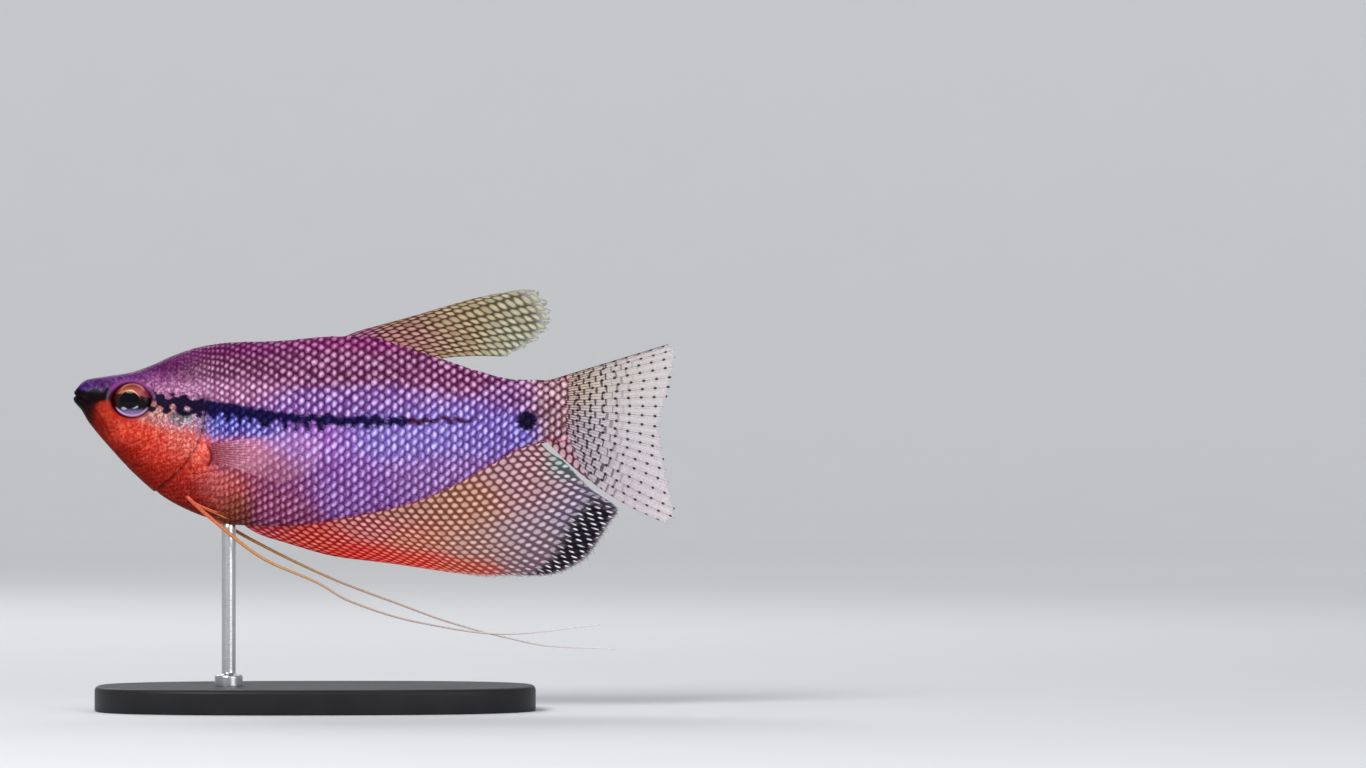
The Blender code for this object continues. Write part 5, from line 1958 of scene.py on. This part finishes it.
@dataclass(frozen=True)
class Studio:
    """A pale floor that curves up into its backdrop, soft lights, and the camera."""

    camera_at: Triple = (-3.9, -1518.0, 65.2)
    aim_x: float = 61.5
    lens: float = 200.0
    sensor: float = 36.0
    floor_radius: float = 1750.0
    cove_radius: float = 450.0
    cove_height: float = 750.0
    cove_sides: int = 96
    wall_glow: float = 0.27
    glow_spread: Pair = (0.1, 0.75)
    sky_strength: float = 0.28
    lamps_aim: Triple = (0.0, 0.0, 50.0)
    lamps: tuple[tuple[str, Triple, float, float], ...] = (
        ("key", (-380.0, -640.0, 620.0), 420.0, 7.6),
        ("fill", (520.0, -700.0, 260.0), 520.0, 2.6),
        ("rim", (120.0, 520.0, 520.0), 360.0, 0.9),
        ("back", (-320.0, 680.0, 600.0), 420.0, 2.6),
    )

    def build_cove(self) -> Piece:
        """Builds the round floor: a profile of floor, quarter circle and wall, turned about the middle.

        Its far part glows softly, by a smooth step of the distance from the middle, like a lit backdrop.

        Returns:
            The piece.
        """
        bend = np.linspace(0.0, math.pi / 2, 24)
        far = np.concatenate([[self.floor_radius / 3, self.floor_radius * 0.8],
                              self.floor_radius + self.cove_radius * np.sin(bend),
                              [self.floor_radius + self.cove_radius]])
        z = np.concatenate([[0.0, 0.0], self.cove_radius * (1 - np.cos(bend)), [self.cove_height]])
        turn = turns_round(self.cove_sides)
        far_out = far[:, None]
        points = together(far_out * np.cos(turn), far_out * np.sin(turn), z[:, None]).reshape(-1, 3)
        points = np.vstack([points, [0.0, 0.0, 0.0]])
        number = np.arange(self.cove_sides)
        fan = together(len(points) - 1, number, np.roll(number, -1))
        piece = new_piece("cove", points, [grid_faces(len(far), self.cove_sides, wraps=True)[:, ::-1], fan])
        g = Graph("pale_cove")
        x, y, _ = g.parts(g.place())
        glow = ((x * x + y * y) ** 0.5).between(*(self.floor_radius * part for part in self.glow_spread))
        grain = g.noise(g.place(), 0.03, 2.0)
        piece.data.materials.append(g.dress(
            Base_Color=g.mix(grain, (0.60, 0.61, 0.625, 1.0), (0.62, 0.63, 0.645, 1.0)), Roughness=0.85,
            Emission_Color=g.mix(glow, (0.0, 0.0, 0.0, 1.0), (0.97, 0.98, 1.0, 1.0)),
            Emission_Strength=self.wall_glow))
        return piece

    def build_lights(self) -> None:
        """Builds the soft lamps, each turned to the fish, and the pale sky."""
        for name, at, size, power in self.lamps:
            data = bpy.data.lights.new(name, "AREA")
            data.shape = "DISK"
            data.size = size * MM
            data.energy = power
            lamp = bpy.data.objects.new(name, data)
            bpy.context.scene.collection.objects.link(lamp)
            lamp.visible_camera = False
            lamp.location = [c * MM for c in at]
            lamp.rotation_euler = aim(at, self.lamps_aim)
        world = bpy.data.worlds.new("sky")
        world.use_nodes = True
        background = world.node_tree.nodes["Background"]
        background.inputs["Color"].default_value = (0.95, 0.97, 1.0, 1.0)
        background.inputs["Strength"].default_value = self.sky_strength
        bpy.context.scene.world = world

    def build_camera(self) -> None:
        """Builds the camera, level and turned slightly to its right."""
        data = bpy.data.cameras.new("camera")
        data.lens = self.lens
        data.sensor_width = self.sensor
        data.clip_end = 10.0
        camera = bpy.data.objects.new("camera", data)
        bpy.context.scene.collection.objects.link(camera)
        camera.location = [c * MM for c in self.camera_at]
        camera.rotation_euler = aim(self.camera_at, (self.aim_x, 0.0, self.camera_at[2]))
        bpy.context.scene.camera = camera
        bpy.context.scene.view_settings.view_transform = "Standard"

    def build(self) -> None:
        """Builds the whole studio."""
        self.build_cove()
        self.build_lights()
        self.build_camera()
        log.info("studio: cove, %d lamps and camera", len(self.lamps))


def aim(at: Triple, target: Triple) -> Triple:
    """Turns a lamp or camera to a point.

    Args:
        at: where it stands.
        target: what it looks at.

    Returns:
        Its rotation as Euler angles.
    """
    dx, dy, dz = (t - a for a, t in zip(at, target))
    return math.atan2(math.hypot(dx, dy), -dz), 0.0, math.atan2(-dx, dy)


@dataclass(frozen=True)
class FinSet:
    """All the fins with their outlines, colours and finishes."""

    form: BodyForm
    pectoral_root: Pair = (-32.6, 51.6)
    pectoral_sunk: float = 1.95

    def dorsal(self) -> DorsalFin:
        """The dorsal fin: cream pearls on a brown net, dark in front.

        Returns:
            The fin, not yet built.
        """
        zones = (
            Zone(-3.0, 75.0, 3.0, 2.4, "#45162a", "#9c5c84"),
            Zone(8.0, 74.6, 6.0, 2.2, "#421826", "#b47e74"),
            Zone(6.0, 78.0, 6.0, 2.2, "#3c1e1e", "#a07a64"),
            Zone(16.0, 76.0, 6.0, 3.5, "#443020", "#b09a7a"),
            Zone(19.0, 80.0, 6.0, 2.5, "#463624", "#ac9876"),
            Zone(28.0, 80.0, 6.0, 4.5, "#4c4630", "#b2ac92"),
            Zone(30.0, 74.0, 6.0, 3.0, "#50503a", "#b0ae96"),
        )
        tips = [(0.0, -0.6, 76.6), (0.15, 10.5, 79.6), (0.3, 22.5, 83.0), (0.42, 31.0, 84.3),
                (0.55, 34.6, 81.4), (0.7, 35.4, 77.8), (0.85, 32.4, 74.0), (1.0, 26.3, 70.6)]
        finish = FinFinish("dorsal_skin", FinPattern.PEARLED, pitch=1.66, ray_colour="#2e1c14", ray_share=0.5,
                           pearl_size=1.15)
        return DorsalFin(self.form, "dorsal_fin", "fin", 14, tips, zones, finish, bow=-0.05,
                         fringe=(0.02, 0.06), root_shift=(0.0, 0.0, -1.2))

    def anal(self) -> AnalFin:
        """The anal fin: red in front, brown pearls behind, and a dark edge.

        Returns:
            The fin, not yet built.
        """
        zones = (
            Zone(-22.0, 35.5, 5.0, 2.0, "#841a1a", "#c86070", 0.8),
            Zone(-12.0, 34.4, 6.0, 2.4, "#8a0f0c", "#e6705e", 0.85),
            Zone(-3.0, 31.0, 6.5, 2.2, "#9a0a0c", "#ea5a4c", 0.8),
            Zone(8.0, 29.4, 6.0, 2.0, "#9c0e0e", "#ec6858", 0.8),
            Zone(18.0, 28.4, 5.0, 1.6, "#98301e", "#de8c74", 0.8),
            Zone(-1.0, 36.2, 6.0, 2.2, "#7c2c34", "#d89690", 0.95),
            Zone(8.0, 34.4, 6.0, 2.6, "#8a3a2c", "#cc9884"),
            Zone(8.0, 39.0, 5.0, 2.4, "#703a3a", "#c89a86"),
            Zone(18.0, 40.0, 6.5, 4.0, "#764434", "#cca28c"),
            Zone(20.0, 33.0, 6.5, 3.0, "#744c42", "#c6a29a"),
            Zone(32.0, 45.0, 6.0, 5.0, "#6a4046", "#cea8b2"),
            Zone(30.0, 34.0, 7.0, 4.5, "#604c56", "#bea8b4"),
            Zone(40.0, 40.0, 6.0, 5.0, "#50465a", "#bcb2ca"),
            Zone(37.5, 48.6, 3.0, 2.6, "#34504e", "#a8c8c0"),
        )
        tips = [(0.0, -18.3, 33.8), (0.12, -8.5, 30.8), (0.25, 3.7, 29.2), (0.4, 14.9, 27.5),
                (0.55, 24.9, 26.4), (0.65, 34.4, 26.6), (0.75, 42.3, 29.6), (0.82, 45.6, 33.8),
                (0.88, 47.6, 37.2), (0.92, 49.2, 39.8), (0.96, 43.2, 44.4), (1.0, 37.6, 50.0)]
        finish = FinFinish("anal_skin", FinPattern.PEARLED, pitch=1.5, ray_colour="#48141a", ray_share=0.5,
                           tip_shown=0.9)
        return AnalFin(self.form, "anal_fin", "anal_fin", 42, tips, zones, finish, bow=0.13,
                       fringe=(0.015, 0.04), root_shift=(0.0, 0.0, 1.2), rows=46)

    def tail(self) -> TailFin:
        """The tail fin: netted at its root, then clear with dark dots on its rays.

        Returns:
            The fin, not yet built.
        """
        zones = (
            Zone(36.0, 60.0, 3.0, 8.0, "#6a3e48", "#d4acb4"),
            Zone(42.0, 64.0, 4.5, 4.0, "#7c6258", "#d8c4ae"),
            Zone(42.0, 57.0, 4.5, 4.0, "#7c666c", "#c8bcc6"),
            Zone(42.0, 50.0, 4.5, 4.0, "#6c5a64", "#bcb0bc"),
            Zone(52.0, 66.0, 6.0, 6.0, "#94807e", "#dccfca"),
            Zone(52.0, 56.0, 6.0, 6.0, "#988a90", "#dfd5da"),
            Zone(52.0, 45.0, 6.0, 6.0, "#8f7c86", "#d8c8d0"),
            Zone(59.0, 56.0, 4.0, 18.0, "#9a8c90", "#e2dadc"),
        )
        tips = [(0.0, 58.6, 73.2), (0.07, 60.1, 71.8), (0.25, 59.2, 65.6), (0.5, 57.0, 56.6),
                (0.75, 58.4, 46.8), (0.93, 60.1, 38.8), (1.0, 58.4, 37.2)]
        finish = FinFinish("tail_skin", FinPattern.DOTTED, pitch=2.6, ray_colour="#3c222a", ray_share=0.9,
                           ray_wide=0.14)
        return TailFin(self.form, "tail_fin", "fin", 19, tips, zones, finish, bow=0.12, bow_starts=0.6,
                       fringe=(0.03, 0.03), root_shift=(-1.2, 0.0, 0.0), rows=48)

    def pectoral(self, side: Side) -> PectoralFin:
        """A pectoral fin: clear pink with thin dark red rays.

        Args:
            side: the flank that it stands on.

        Returns:
            The fin, not yet built.
        """
        zones = (
            Zone(-31.5, 51.5, 2.5, 4.0, "#9c3640", "#e07c80"),
            Zone(-24.0, 52.0, 6.0, 4.0, "#d488a2", "#fcc8dc"),
            Zone(-14.0, 52.0, 6.0, 4.0, "#dca0b8", "#fcd8e8"),
        )
        tips = [(0.0, -15.9, 55.8), (0.3, -10.7, 53.4), (0.6, -11.5, 49.4), (1.0, -18.3, 45.2)]
        finish = FinFinish(f"pectoral_skin_{side.word}", FinPattern.CLEAR, ray_colour="#7c2034",
                           ray_share=0.85, ray_wide=0.11)
        root_x, root_z = self.pectoral_root
        middle, _, below, width, _, belly = self.form.section(np.array([root_x]))
        share = np.clip((root_z - middle) / below, -1.0, 1.0)
        root_y = float((width * (1.0 - share**2) ** (belly / 2))[0])
        return PectoralFin(self.form, f"pectoral_fin_{side.word}", "fin", 12, tips, zones, finish,
                           fringe=(0.012, 0.012), root_shift=(-0.2, -side.value * self.pectoral_sunk, 0.0),
                           side=side, root_y=root_y, ray_half=(0.22, 0.12), membrane_half=0.08, rows=34)

    def build(self) -> None:
        """Builds every fin."""
        for fin in (self.dorsal(), self.anal(), self.tail(), self.pectoral(Side.LEFT),
                    self.pectoral(Side.RIGHT)):
            fin.build()


def corners(box: tuple) -> list[list[float]]:
    """A box's two corners as plain lists."""
    return [[float(c) for c in corner] for corner in box]


def main() -> None:
    """Builds the fish, its stand and the studio."""
    logging.basicConfig(level=logging.INFO, format="%(name)s %(message)s")
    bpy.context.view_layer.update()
    form = BodyForm()
    markings = Markings(form)
    Studio().build()
    Skin(form, markings).build()
    for side in Side:
        Scales(form, markings, side).build()
        Eye(form, side).build()
    FinSet(form).build()
    Feeler(Side.LEFT, [
        (-38.2, -2.2, 43.6), (-36.6, -3.4, 41.9), (-31.5, -3.9, 37.4), (-22.3, -4.8, 30.4),
        (-11.5, -5.8, 25.6), (-5.4, -6.2, 22.1), (8.9, -6.6, 17.7), (25.7, -6.0, 15.4), (44.7, -4.6, 17.2),
    ]).build()
    Feeler(Side.RIGHT, [
        (-38.2, 2.2, 43.6), (-36.6, 3.4, 41.9), (-31.5, 3.9, 38.0), (-24.4, 4.4, 33.8), (-8.5, 5.6, 26.1),
        (5.9, 6.4, 20.6), (14.1, 6.6, 17.6), (25.7, 6.6, 14.4), (35.7, 6.2, 12.5), (48.3, 5.6, 12.0),
    ]).build()
    stand = Stand(form)
    stand.build_base()
    stand.build_rod()


if __name__ == "__main__":
    main()
